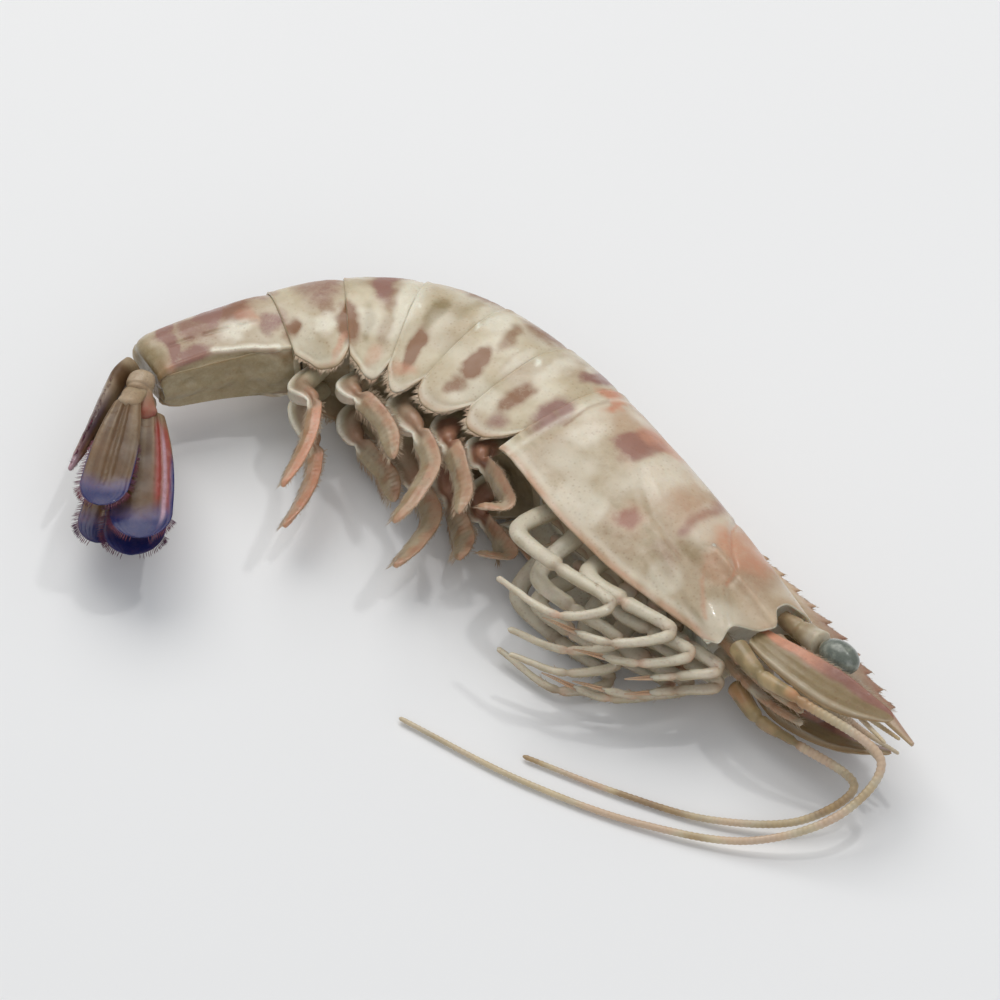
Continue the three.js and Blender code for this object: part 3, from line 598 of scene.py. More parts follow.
def wet_film():
    """The group for a wet surface: uneven water, so uneven shine, and small ripples."""
    name = "Wet Film"
    if name in bpy.data.node_groups:
        return bpy.data.node_groups[name]
    group = new_group(
        name,
        [("Dry Roughness", "Float", 0.47), ("Ripple Scale", "Float", 700.0)],
        [("Roughness", "Float"), ("Coat", "Float"), ("Height", "Float")],
    )
    links = group.links
    given = add_node(group, "NodeGroupInput", (-900, 0))
    place = add_node(group, "ShaderNodeTexCoord", (-900, -300)).outputs["Object"]
    water = add_node(group, "ShaderNodeTexNoise", (-600, 100), inputs={"Scale": 260.0, "Detail": 3.0})
    links.new(place, water.inputs["Vector"])
    ripple = add_node(group, "ShaderNodeTexNoise", (-600, -200), inputs={"Detail": 5.0, "Roughness": 0.6})
    links.new(place, ripple.inputs["Vector"])
    links.new(given.outputs["Ripple Scale"], ripple.inputs["Scale"])
    covered = remap(group, water.outputs["Fac"], 0.4, 0.66, 0.12, 0.75, (-350, 100))
    smoother = maths(group, "MULTIPLY", covered, -0.14, (-150, -50))
    rough = maths(group, "ADD", given.outputs["Dry Roughness"], smoother, (0, -50))
    height = maths(group, "ADD", maths(group, "MULTIPLY", ripple.outputs["Fac"], 0.7, (-350, -200)),
                   maths(group, "MULTIPLY", water.outputs["Fac"], 1.2, (-350, -350)), (-150, -250))
    result = add_node(group, "NodeGroupOutput", (200, 0))
    links.new(rough, result.inputs["Roughness"])
    links.new(covered, result.inputs["Coat"])
    links.new(height, result.inputs["Height"])
    return group


def clouded_horn():
    """The group for horn that clouds from one colour into another."""
    name = "Clouded Horn"
    if name in bpy.data.node_groups:
        return bpy.data.node_groups[name]
    group = new_group(
        name,
        [("First", "Color", None), ("Second", "Color", None),
         ("Scale", "Float", 500.0), ("Detail", "Float", 3.0)],
        [("Color", "Color")],
    )
    given = add_node(group, "NodeGroupInput", (-900, 0))
    place = add_node(group, "ShaderNodeTexCoord", (-900, 200)).outputs["Object"]
    cloud = add_node(group, "ShaderNodeTexNoise", (-600, 200))
    group.links.new(place, cloud.inputs["Vector"])
    for label in ("Scale", "Detail"):
        group.links.new(given.outputs[label], cloud.inputs[label])
    tone = mix(group, cloud.outputs["Fac"], given.outputs["First"], given.outputs["Second"], (-300, 0))
    result = add_node(group, "NodeGroupOutput", (0, 0))
    group.links.new(tone, result.inputs["Color"])
    return group


def wet_material(name, look):
    """A new material with a wet film. Look holds the shader's constants."""
    material = bpy.data.materials.new(name)
    material.use_nodes = True
    tree = material.node_tree
    tree.nodes.clear()
    result = add_node(tree, "ShaderNodeOutputMaterial", (600, 0))
    shader = add_node(tree, "ShaderNodeBsdfPrincipled", (300, 0), inputs=look)
    tree.links.new(shader.outputs[0], result.inputs["Surface"])
    film = add_node(tree, "ShaderNodeGroup", (-300, -300), node_tree=wet_film())
    relief = add_node(tree, "ShaderNodeBump", (0, -400), inputs={"Strength": 0.6, "Distance": 0.00014})
    tree.links.new(film.outputs["Height"], relief.inputs["Height"])
    tree.links.new(relief.outputs["Normal"], shader.inputs["Normal"])
    tree.links.new(film.outputs["Roughness"], shader.inputs["Roughness"])
    tree.links.new(film.outputs["Coat"], shader.inputs["Coat Weight"])
    return material, shader, film


def attribute(tree, name, place):
    """The value of a mask painted on the mesh."""
    return add_node(tree, "ShaderNodeAttribute", place, attribute_name=name).outputs["Fac"]


def stained_material(name, light, shade, stains, speck, look):
    """A wet material whose colour comes from masks on the mesh: stains is (mask, colour) pairs."""
    if name in bpy.data.materials:
        return bpy.data.materials[name]
    material, shader, _ = wet_material(name, look)
    tree = material.node_tree
    skin = add_node(tree, "ShaderNodeGroup", (-100, 200), node_tree=stained_skin())
    skin.inputs["Light"].default_value = (*light, 1)
    skin.inputs["Shade"].default_value = (*shade, 1)
    skin.inputs["Speck"].default_value = (*speck, 1)
    for i, (mask, tint) in enumerate(stains, 1):
        skin.inputs[f"Stain {i}"].default_value = (*tint, 1)
        tree.links.new(attribute(tree, mask, (-400, 500 - 160 * i)), skin.inputs[f"Mask {i}"])
    tree.links.new(skin.outputs["Color"], shader.inputs["Base Color"])
    return material


WET_FLESH = {
    "Subsurface Weight": 0.32, "Subsurface Radius": (1.0, 0.6, 0.4), "Subsurface Scale": 0.0018,
    "Coat Roughness": 0.08, "Coat IOR": 1.36, "IOR": 1.42,
}
WET_FAN = {**WET_FLESH, "Subsurface Weight": 0.15, "Specular IOR Level": 0.3, "Coat IOR": 1.25}
WET_HORN = {"Coat Roughness": 0.1, "Coat IOR": 1.33, "IOR": 1.5}


def flesh_stains(brown, orange):
    """The masks of the shell, limbs and feelers, each with its colour."""
    c = bpy.context.scene.prawn_colours
    return (("brown", brown), ("mauve", c.mauve), ("orange", orange), ("olive", c.olive), ("pale", c.pale))


def shell_material():
    """Wet translucent shell, cream with brown, mauve and orange stains."""
    c = bpy.context.scene.prawn_colours
    stains = flesh_stains(c.brown, c.orange)
    return stained_material("Carapace Skin", c.cream, c.shade, stains, c.brown, WET_FLESH)


def limb_material():
    """Wet thin shell of the limbs."""
    c = bpy.context.scene.prawn_colours
    stains = flesh_stains(c.limb_red, c.orange)
    return stained_material("Limb", c.limb, c.limb_shade, stains, c.limb_red, WET_FLESH)


def fan_material():
    """Wet tail blades: olive brown, red margin, a pale ridge painted as a highlight, violet and blue tips.
    """
    c = bpy.context.scene.prawn_colours
    stains = (("tan", c.shade), ("red", c.red), ("violet", c.violet), ("navy", c.navy), ("ridge", c.ridge))
    return stained_material("Fan", c.fan_tan, c.fan_base, stains, c.fan_base, WET_FAN)


def whisker_material():
    """Straw feelers with pinkish bands."""
    c = bpy.context.scene.prawn_colours
    stains = flesh_stains(c.limb_red, c.whisker_band)
    return stained_material("Feeler", c.whisker, c.limb_shade, stains, c.whisker_band, WET_HORN)


def eye_material():
    """Glossy dark eyes with fine facets and lighter patches of painted sheen."""
    c = bpy.context.scene.prawn_colours
    if "Eye" in bpy.data.materials:
        return bpy.data.materials["Eye"]
    material, shader, film = wet_material("Eye", {"Coat Roughness": 0.04, "IOR": 1.5})
    tree = material.node_tree
    film.inputs["Dry Roughness"].default_value = 0.3
    place = add_node(tree, "ShaderNodeTexCoord", (-900, 200)).outputs["Object"]
    cloud = add_node(tree, "ShaderNodeTexNoise", (-700, 300), inputs={"Scale": 700.0, "Detail": 4.0})
    facets = add_node(tree, "ShaderNodeTexVoronoi", (-700, 0), inputs={"Scale": 5200.0})
    for texture in (cloud, facets):
        tree.links.new(place, texture.inputs["Vector"])
    # Lighter patches of painted sheen.
    patches = remap(tree, cloud.outputs["Fac"], 0.48, 0.7, 0.0, 0.8, (-500, 300))
    tone = mix(tree, patches, c.eye, c.eye_sheen, (-250, 300))
    collar = mix(tree, attribute(tree, "pale", (-500, 550)), tone, c.limb, (-50, 300))
    dark = maths(tree, "MULTIPLY", facets.outputs["Distance"], 0.18, (-450, 50), True)
    tone = mix(tree, dark, collar, (0.0, 0.0, 0.0), (100, 300))
    tree.links.new(tone, shader.inputs["Base Color"])
    return material


def horn_material(name, first, second, scale, detail):
    """Wet horn of the bristles, in two colours."""
    if name in bpy.data.materials:
        return bpy.data.materials[name]
    material, shader, _ = wet_material(name, WET_HORN)
    tree = material.node_tree
    horn = add_node(tree, "ShaderNodeGroup", (-100, 200), node_tree=clouded_horn())
    horn.inputs["First"].default_value = (*first, 1)
    horn.inputs["Second"].default_value = (*second, 1)
    horn.inputs["Scale"].default_value = scale
    horn.inputs["Detail"].default_value = detail
    tree.links.new(horn.outputs["Color"], shader.inputs["Base Color"])
    return material


def bristle_material():
    """Horny bristles, tan to cream."""
    c = bpy.context.scene.prawn_colours
    return horn_material("Bristle", c.bristle, c.cream, 500.0, 3.0)


def fringe_material():
    """Blue to red bristles round the tail blades' ends."""
    c = bpy.context.scene.prawn_colours
    return horn_material("Fringe", c.navy, c.red, 350.0, 2.0)


# What the pieces of each slot are made of: their skin, then their bristles.
LOOKS = {
    "shell": (shell_material, bristle_material),
    "limb": (limb_material, bristle_material),
    "fan": (fan_material, fringe_material),
    "whisker": (whisker_material,),
    "eye": (eye_material,),
}


# ---------------- ring sections

# Shares along each stretch of half an outline, from the back's middle to the belly's middle.
CROWN = np.linspace(0, 1, 46)
FLAP = np.linspace(0, 1, 41)[1:]
EDGE = np.linspace(0, 1, 8)[1:]
WALL = np.linspace(0, 1, 11)[1:]
BELLY = np.linspace(0, 1, 14)[1:]
SHELL_COLUMNS = len(CROWN) + len(FLAP) + len(EDGE)
LOWEST_COLUMN = len(CROWN) + len(FLAP) + len(EDGE) // 2
WALL_THIN = 2.2           # how long the flap stays thin before it thickens into the belly
ROOT_INSET = 0.4          # how far the belly's edge stands inside the wall
ROOT_SHARE = 0.78         # the most of the half-width that the belly takes

# 1 where a column belongs to the shell, 0 where it belongs to the belly.
SHELL_SHARE = np.concatenate([np.ones(SHELL_COLUMNS), 1 - WALL, np.zeros(len(BELLY))])


def mirrored(half, sign=1):
    """Half an outline's columns, followed by the other half's."""
    return np.concatenate([half, sign * half[..., -2:0:-1]], axis=-1)


def section(station, reach, underside, inset, edge):
    """The outline at each row as depth, side and nearness to the flap, each rows by columns."""
    widest = along(WIDEST_DEPTH, station)
    half = along(HALF_WIDTH, station)

    def side_at(depth):
        return half * (1 - SIDE_TUCK * ((depth - widest) / widest) ** 2)

    up = np.cos(CROWN * np.pi / 2) ** (2 / CROWN_POWER)
    out = np.sin(CROWN * np.pi / 2) ** (2 / CROWN_POWER)
    crown = (widest - (widest - inset) * up, (half - inset) * out)
    lowest = reach - inset * 0.5 - edge
    flap_depth = widest + (lowest - widest) * FLAP
    flap = (flap_depth, side_at(flap_depth) - inset)
    edge_centre = side_at(lowest) - inset - edge
    turn = EDGE * np.pi
    rolled = (lowest + edge * np.sin(turn), edge_centre + edge * np.cos(turn))
    inner = edge_centre - edge
    root = np.minimum(side_at(underside) - SIDE_WALL - ROOT_INSET, half * ROOT_SHARE)
    wall = (lowest + (underside - lowest) * WALL, inner + (root - inner) * WALL**WALL_THIN)
    belly = (underside + KEEL_DROP * np.sin(BELLY * np.pi / 2) ** 2, root * (1 - BELLY))
    parts = (crown, flap, rolled, wall, belly)
    rows = station.shape[0]
    depth = np.concatenate([np.broadcast_to(d, (rows, d.shape[-1])) for d, _ in parts], axis=-1)
    side = np.concatenate([np.broadcast_to(s, (rows, s.shape[-1])) for _, s in parts], axis=-1)
    return mirrored(depth), mirrored(side, -1)


# ---------------- the shell's pattern

# Each stain, or painted highlight: station, depth, half-length, half-depth, mask, strength, and how it leans
# with depth.
STAINS_AND_HIGHLIGHT = (
    # The last ring.
    (11.0, 4.0, 9.0, 5.6, "mauve", 0.28), (0.6, 7.0, 1.5, 8.0, "olive", 0.5),
    (1.0, 10.2, 1.5, 2.6, "orange", 0.5), (4.2, 5.0, 1.3, 5.8, "mauve", 0.75, -0.22),
    (12.0, 2.2, 2.2, 3.6, "mauve", 0.8, -0.3), (6.0, 9.4, 3.3, 1.7, "mauve", 0.75),
    (14.2, 7.8, 3.0, 1.8, "pale", 0.5), (7.8, 4.6, 2.4, 3.0, "mauve", 0.45),
    (15.5, 3.4, 2.6, 3.4, "brown", 0.7, -0.2), (9.0, 4.6, 2.2, 2.4, "brown", 0.5),
    (19.6, 8.6, 1.8, 2.2, "mauve", 0.6), (17.0, 6.4, 1.4, 1.9, "orange", 0.35),
    (20.0, 1.5, 2.0, 2.4, "mauve", 0.45), (22.6, 11.2, 1.3, 2.0, "brown", 0.7),
    # Ring 5.
    (29.0, 3.5, 3.6, 5.2, "mauve", 0.5, -0.1), (29.4, 9.2, 1.6, 1.9, "brown", 0.45),
    (28.4, 12.4, 2.6, 1.7, "pale", 0.45), (33.2, 13.4, 2.0, 3.4, "brown", 0.85, 0.2),
    (30.4, 17.2, 1.2, 2.0, "orange", 0.4, -1.2),
    # Ring 4.
    (37.2, 13.6, 1.2, 3.0, "olive", 0.55), (40.0, 2.2, 3.3, 4.6, "brown", 0.55),
    (39.8, 5.5, 1.8, 4.2, "mauve", 0.8), (45.0, 10.0, 2.4, 7.0, "pale", 0.4),
    (39.5, 19.4, 2.4, 1.6, "orange", 0.3, -0.4), (42.0, 15.2, 2.0, 3.4, "brown", 0.3, 0.2),
    (41.4, 8.6, 1.6, 3.0, "brown", 0.55, 0.1),
    # Ring 3.
    (51.2, 10.6, 2.0, 2.8, "olive", 0.7), (51.7, 17.8, 2.2, 3.9, "brown", 0.95, 0.2),
    (51.0, 21.8, 4.8, 1.4, "orange", 0.35), (56.4, 1.8, 4.2, 2.8, "brown", 0.7),
    (55.0, 8.0, 1.8, 4.2, "olive", 0.3), (59.0, 6.0, 1.4, 3.6, "pale", 0.3),
    # Ring 2.
    (65.8, 15.8, 1.6, 3.2, "brown", 0.95, 0.25), (66.6, 20.4, 1.8, 1.7, "brown", 0.6),
    (66.0, 8.4, 1.6, 3.2, "brown", 0.5, 0.2), (68.0, 2.0, 3.3, 3.4, "brown", 0.7),
    (62.2, 7.6, 2.0, 2.8, "pale", 0.45), (71.0, 11.0, 1.2, 3.4, "pale", 0.35),
    # Ring 1.
    (76.8, 15.9, 1.8, 3.0, "brown", 0.7, 0.1), (79.5, 3.0, 1.7, 3.6, "mauve", 0.7),
    (75.5, 8.0, 1.6, 3.6, "pale", 0.4), (78.0, 20.5, 2.0, 1.4, "mauve", 0.5),
    (84.2, 4.0, 1.8, 2.4, "orange", 0.7), (83.6, 14.2, 2.2, 3.8, "mauve", 0.8, 0.1),
    (83.8, 14.4, 1.4, 2.4, "brown", 0.35, 0.1),
    # The carapace.
    (86.6, 4.8, 1.2, 2.6, "orange", 0.65, 0.1), (95.0, 2.2, 4.0, 3.2, "orange", 0.5),
    (95.2, 6.8, 2.3, 3.9, "mauve", 0.95, 0.1), (95.0, 6.5, 1.5, 2.8, "brown", 0.4, 0.1),
    # The pale stain at station 101.5 is a painted highlight on the carapace's side.
    (101.5, 8.0, 3.6, 5.5, "pale", 0.35), (117.4, 3.6, 5.0, 5.0, "orange", 0.5),
    (122.0, 4.5, 3.0, 3.5, "brown", 0.35), (106.6, 15.8, 2.3, 2.4, "orange", 0.2),
    (106.4, 15.9, 1.8, 1.9, "mauve", 0.75), (115.5, 11.2, 2.2, 1.8, "olive", 0.4),
    (99.0, 17.5, 2.6, 2.2, "olive", 0.2), (114.0, 14.6, 3.0, 2.0, "mauve", 0.3, 0.3),
    (90.0, 12.0, 2.4, 3.6, "pale", 0.3), (121.5, 10.5, 4.0, 4.0, "olive", 0.15),
    (119.5, 9.4, 3.2, 2.6, "orange", 0.3),
)

STAIN_AND_HIGHLIGHT_GAIN = 1.5          # how strongly the stains and the painted highlight show

# Broad clouds over the whole shell: mask, strength, swell and seed.
CLOUDS = (("pale", 0.42, 4.6, 21), ("olive", 0.22, 5.4, 22), ("mauve", 0.22, 6.0, 23))

# Narrow bands and lines: mask, strength, width and the (station, depth) places they run through.
LINES = (
    ("mauve", 0.85, 1.1, ((106.6, 0), (110.0, 4.0), (110.6, 8.0), (112.2, 10.6))),
    ("orange", 0.9, 0.28, ((111.0, 0.5), (114.0, 3.8), (117.8, 6.0), (121.4, 7.6), (122.4, 9.6))),
    ("brown", 0.7, 0.3, ((85.4, 1.5), (85.6, 8.0), (86.6, 14.0))),
    ("orange", 0.5, 0.35, ((117.0, 9.5), (120.0, 12.5), (125.0, 14.6))),
    ("pale", 0.9, 0.5, ((9.5, 9.9), (14.0, 11.2), (19.5, 13.2))),
    ("brown", 0.9, 0.42, ((2.0, 10.2), (12.0, 12.2), (20.0, 14.6))),
    ("pale", 1.0, 0.4, ((60.1, 9.6), (60.9, 10.4))),
    ("pale", 1.0, 0.4, ((72.6, 9.0), (73.4, 9.9))),
    ("pale", 0.9, 0.4, ((47.0, 9.4), (47.6, 10.2))),
)


def raise_masks(masks, **least):
    """Raises each mask that is named to at least the given strength."""
    for name, value in least.items():
        masks[name] = np.maximum(masks[name], value)


def shell_masks(points, station, depth, on_shell):
    """The masks of the shell's pattern and its painted highlight, with edges made uneven by noise."""
    wander = 0.9 * noise(points, 2.6, 1.0) + 0.4 * noise(points, 1.0, 2.0)
    drift = 0.9 * noise(points, 2.6, 3.0) + 0.4 * noise(points, 1.0, 4.0)
    s = station + wander
    d = depth + drift
    masks = {name: np.zeros(station.shape) for name in ("brown", "mauve", "orange", "olive", "pale")}
    for s0, d0, half_length, half_depth, mask, strength, *leans in STAINS_AND_HIGHLIGHT:
        off = np.hypot((s - s0 - sum(leans) * (d - d0)) / half_length, (d - d0) / half_depth)
        raise_masks(masks, **{mask: STAIN_AND_HIGHLIGHT_GAIN * strength * (1 - ramp(off, 0.5, 1.55))})
    for mask, strength, width, path in LINES:
        close = nearness(station + 0.3 * wander, depth + 0.3 * drift, path, width)
        raise_masks(masks, **{mask: strength * close})
    free = 1 - np.clip(masks["brown"] + masks["mauve"] + masks["orange"], 0, 1)
    for mask, strength, swell, seed in CLOUDS:
        raise_masks(masks, **{mask: strength * free * ramp(noise(points, swell, seed), 0.0, 0.5)})
    return {name: value * on_shell for name, value in masks.items()}


FLAP_TUFTS = 16           # tufts of bristles along a flap, and the bristles in each
TUFT_BRISTLES = 12
TUFT_HALF_WIDTH = 0.5


def edge_hairs(points, rows, column, out, back, size, rng):
    """Pointed tufts of bristles along one column of a grid. Out and back are their directions."""
    tufts = FLAP_TUFTS
    line = points[rows[0]:rows[1], column]
    run = np.concatenate(([0], np.cumsum(np.linalg.norm(np.diff(line, axis=0), axis=1))))
    centres = (np.arange(tufts) + rng.uniform(0.2, 0.8, tufts)) / tufts * run[-1]
    lengths = size["bristle"] * rng.uniform(0.45, 1.1, tufts)
    aims = unit(out + back * rng.uniform(0.1, 0.9, (tufts, 1)) + rng.normal(0, 0.12, (tufts, 3)))

    def on_line(places):
        return np.stack([np.interp(places, run, line[:, k]) for k in range(3)], -1)

    tips = on_line(centres) + aims * lengths[:, None]
    tuft = np.repeat(np.arange(tufts), TUFT_BRISTLES)
    roots = on_line(centres[tuft] + rng.uniform(-TUFT_HALF_WIDTH, TUFT_HALF_WIDTH, len(tuft)))
    reach = tips[tuft] + rng.normal(0, 0.1, (len(tuft), 3)) - roots
    reach = reach * rng.uniform(0.7, 1.05, (len(tuft), 1))
    return hair_patch(roots, reach, np.linalg.norm(reach, axis=1), size["bristle_radius"], 0.06)


# ---------------- tail rings

LENGTHS = {part: size for part, size, _ in BACK_LINE}
# Rows round a rear edge or under the next plate: how far past that edge, and how far inside.
LAST_REAR_ROWS = ((0.3, 3.4), (0.05, 2.6), (0, 1.9), (0.1, 1.3), (0.5, 0.75), (1.2, 0.32), (2.2, 0.08))
LIP_ROWS = ((0.9, 0.75), (0.4, 0.5), (0.06, 0.3), (0, 0.2), (0.05, 0.07))
COVER_ROWS = ((0.05, 0.38), (0.4, 0.6), (0.9, 0.92))
ROW_STEP = 0.3
# The last ring's edge between its back and its shaded side, and the scars above it.
SIDE_EDGE = ((0, 9.6), (9.5, 10.3), (14.0, 11.6), (20.0, 14.2))
SCARS = (((4.0, 6.0), (7.5, 6.4)), ((9.5, 6.6), (13.0, 7.0)), ((15.0, 7.4), (17.5, 7.8)))
KEELED = (4, 5, 6)        # the rings with a keel along the back


def ring_stations(number):
    """A ring's rows as stations and insets, rear to front, with its rear, lip and cover edges."""
    part = f"somite_{number}"
    rear = JOINT[part] - LENGTHS[part]
    last = number == RINGS
    lip = rear if last else rear - LAP
    cover = JOINT[part] - (CARAPACE_LAP if number == 1 else LAP)
    if last:
        rows = [(rear + past, inset) for past, inset in LAST_REAR_ROWS]
    else:
        rows = [(rear, 0.9)] + [(lip + past, inset) for past, inset in LIP_ROWS]
    first_outer = len(rows)
    steps = max(int((cover - lip) / ROW_STEP), 20)
    start = lip + (2.8 if last else 0.15)
    for station in np.linspace(start, cover, steps):
        rows.append((station, LIP_PROUD * max(1 - (cover - station) / VISIBLE_RISE, 0) ** 2))
    last_outer = len(rows)
    rows += [(cover + past, inset) for past, inset in COVER_ROWS]
    rows.append((JOINT[part] - GAP, 1.2))
    station, inset = np.array(rows).T
    return station[:, None], inset[:, None], rear, lip, cover, (first_outer, last_outer)


def flap_relief(height, station, depth, above, lip, cover, groove):
    """What rings 1 to 5 add to the relief: the lip, the flap's rim, the hinge and an oblique crease."""
    behind = station - lip
    height = height + 0.05 * bump(behind, 0.45) - 0.05 * bump(behind - 1.0, 0.5)
    height -= 0.05 * bump(cover - station - 3.4, 0.6) * ramp(above, 4, 8)
    height -= groove * 0.3 * bump(above - 1.3, 0.5) * ramp(behind, 0.3, 1.5)
    height += 0.03 * bump(above - 0.6, 0.5)
    height += 0.14 * nearness(station, depth, ((cover + 0.1, 9.0), (cover - 1.0, 10.6)), 0.8)
    crease = ((lip + 2.0, 17.5), (lip + 0.55 * (cover - lip), 13.0), (cover - 1.0, 12.2))
    return height - 0.05 * nearness(station, depth, crease, 0.9)


def last_ring_relief(height, station, depth, below):
    """What the last ring adds to the relief: the edge along its side, and its scars."""
    height = height + 0.25 * bump(below + 0.3, 0.4) - 0.5 * ramp(below, 0.0, 0.7)
    return height - 0.2 * sum(nearness(station, depth, scar, 0.35) for scar in SCARS)


def flap_masks(masks, above, on_shell):
    """Colours the rim of a flap."""
    rim = on_shell * bump(above - 0.3, 0.5)
    raise_masks(masks, orange=0.3 * rim, olive=0.5 * on_shell * bump(above - 0.1, 0.3))
    raise_masks(masks, pale=0.3 * on_shell * bump(above - 1.3, 0.6))


def last_ring_masks(masks, below, outer):
    """Colours the last ring's shaded side and the edge above it."""
    shaded = ramp(below, 0.0, 0.6) * outer
    masks["brown"] = masks["brown"] * (1 - 0.6 * shaded)
    raise_masks(masks, olive=0.7 * shaded, brown=0.7 * outer * bump(below + 0.1, 0.35))
    for name in ("pale", "mauve"):
        masks[name] = masks[name] * (1 - shaded)


def ring_patches(number, size):
    """A ring's surface and the bristles along its flaps."""
    station, inset, rear, lip, cover, outer_rows = ring_stations(number)
    last = number == RINGS
    way = (station - lip) / (cover - GAP - lip)
    lobe = (LAST_LOBE_RISE if last else LOBE_RISE) * np.abs(2 * np.clip(way, 0, 1.1) - 1) ** 2.6
    reach = along(SIDE_REACH, np.maximum(station, rear if last else rear + 0.5)) - lobe
    under = np.maximum(station, rear)
    skin = inset + size["skin_inset"]
    depth, side = section(station, reach, along(UNDERSIDE_DEPTH, under), skin, size["edge_radius"])
    share = mirrored(SHELL_SHARE)
    place = under + (station - under) * share
    points = body_point(place, depth, side)

    outer = np.zeros(station.shape)
    outer[0 if last else outer_rows[0]:outer_rows[1]] = 1
    on_shell = outer * (share > 0.99)
    behind = station - lip
    above = reach - depth
    below = depth - np.interp(station, *np.array(SIDE_EDGE).T)
    flank = ramp(np.abs(side), 1.0, 3.0)
    height = size["wrinkle"] * (0.8 * noise(points, 5.0) + 0.45 * noise(points, 1.7, 1.5))
    height += 0.022 * noise(points, 0.7, 2.5)
    if last:
        height = last_ring_relief(height, station, depth, below)
    else:
        height = flap_relief(height, station, depth, above, lip, cover, size["groove"])
    if number in KEELED:
        height += 0.4 * bump(side, 0.7) * ramp(behind, 0, 1.5)
        height -= 0.25 * bump(np.abs(side) - 1.5, 0.6)
    height = np.where(on_shell > 0, height, 0.25 * noise(points, 1.3) * (share < 0.01) * outer)
    points = swollen(points, height - 0.02 * flank)

    masks = shell_masks(points, station, depth, on_shell)
    # The belly is darkened with olive and brown: painted shade under the body.
    belly = outer * (1 - share)
    masks["olive"] += 0.5 * belly
    masks["brown"] = masks["brown"] + 0.25 * belly + 0.2 * on_shell * bump(behind, 0.4)
    if last:
        last_ring_masks(masks, below, outer)
        return [grid_patch(points, masks)]
    flap_masks(masks, above, on_shell)
    patches = [grid_patch(points, masks)]
    rng = np.random.default_rng(20 + number)
    _, _, heading = back_line(0.5 * (lip + cover))
    down = np.array([np.sin(heading), -np.cos(heading), 0])
    back = -np.array([np.cos(heading), np.sin(heading), 0])
    for column in (LOWEST_COLUMN, points.shape[1] - LOWEST_COLUMN):
        patches.append(edge_hairs(points, outer_rows, column, down, back, size, rng))
    return patches


class PRAWN_OT_tail_rings(bpy.types.Operator):
    """Build the six tail rings with their overlapping edges, flaps and bristles"""

    bl_idname = "prawn.tail_rings"
    bl_label = "Tail Rings"

    def execute(self, context):
        size = sizes_mm()
        for number in range(1, RINGS + 1):
            make_piece(f"somite_{number}", "shell", ring_patches(number, size))
        return {"FINISHED"}


# ---------------- carapace and rostrum

# How far the front edge stands before the eyes' station, at each depth.
FRONT_EDGE = (
    (0, 2.0), (1.6, 0.6), (3.2, -0.9), (4.8, -0.5), (7, 2.4), (9, 2.0), (12, -0.8), (14.6, 0.4),
    (16, -1.4),
)
HEAD_RECESS = 7.0         # how far the front is hollowed round the roots of the eyes and feelers
RECESS_ROWS = 4
# The neck groove, the cheek's ridge and the gill cover's dent as (station, depth) places.
CERVICAL = ((110.5, 0.6), (113.6, 3.6), (117.8, 6.0), (121.6, 7.6), (122.4, 9.7), (127.1, 12.1))
CHEEK_RIDGE = ((117, 8.2), (123, 7.6), (130, 6.8))
GILL_DENT = ((100, 10), (107, 12.5), (114, 12.6), (120, 11.6))
TEETH = 10
TOOTH_FIRST = ORBIT - 16
TOOTH_LAST = ORBIT + 19
ROSTRUM_ROOT = ORBIT - 26
ROSTRUM_HAIRS = 260
# The rostrum's upper and lower edges above the back's line, and its half-width, at each station.
CREST = (
    (ROSTRUM_ROOT, -0.6), (ORBIT - 16, 0.5), (ORBIT - 4, 1.5), (ORBIT + 6, 2.2), (ORBIT + 17, 1.3),
    (ROSTRUM_TIP, 0.3),
)
KEEL = ((ROSTRUM_ROOT, -2.4), (ORBIT, -2.6), (ORBIT + 6, -2.0), (ORBIT + 17, -1.2), (ROSTRUM_TIP, -0.3))
BLADE = ((ROSTRUM_ROOT, 0.8), (ORBIT - 6, 1.5), (ORBIT + 2, 1.5), (ORBIT + 14, 0.8), (ROSTRUM_TIP, 0.3))
SIDE_SPINE = {"station": ORBIT - 11, "depth": 8.0, "length": 3.2, "radius": 0.6, "sunk": 0.35}


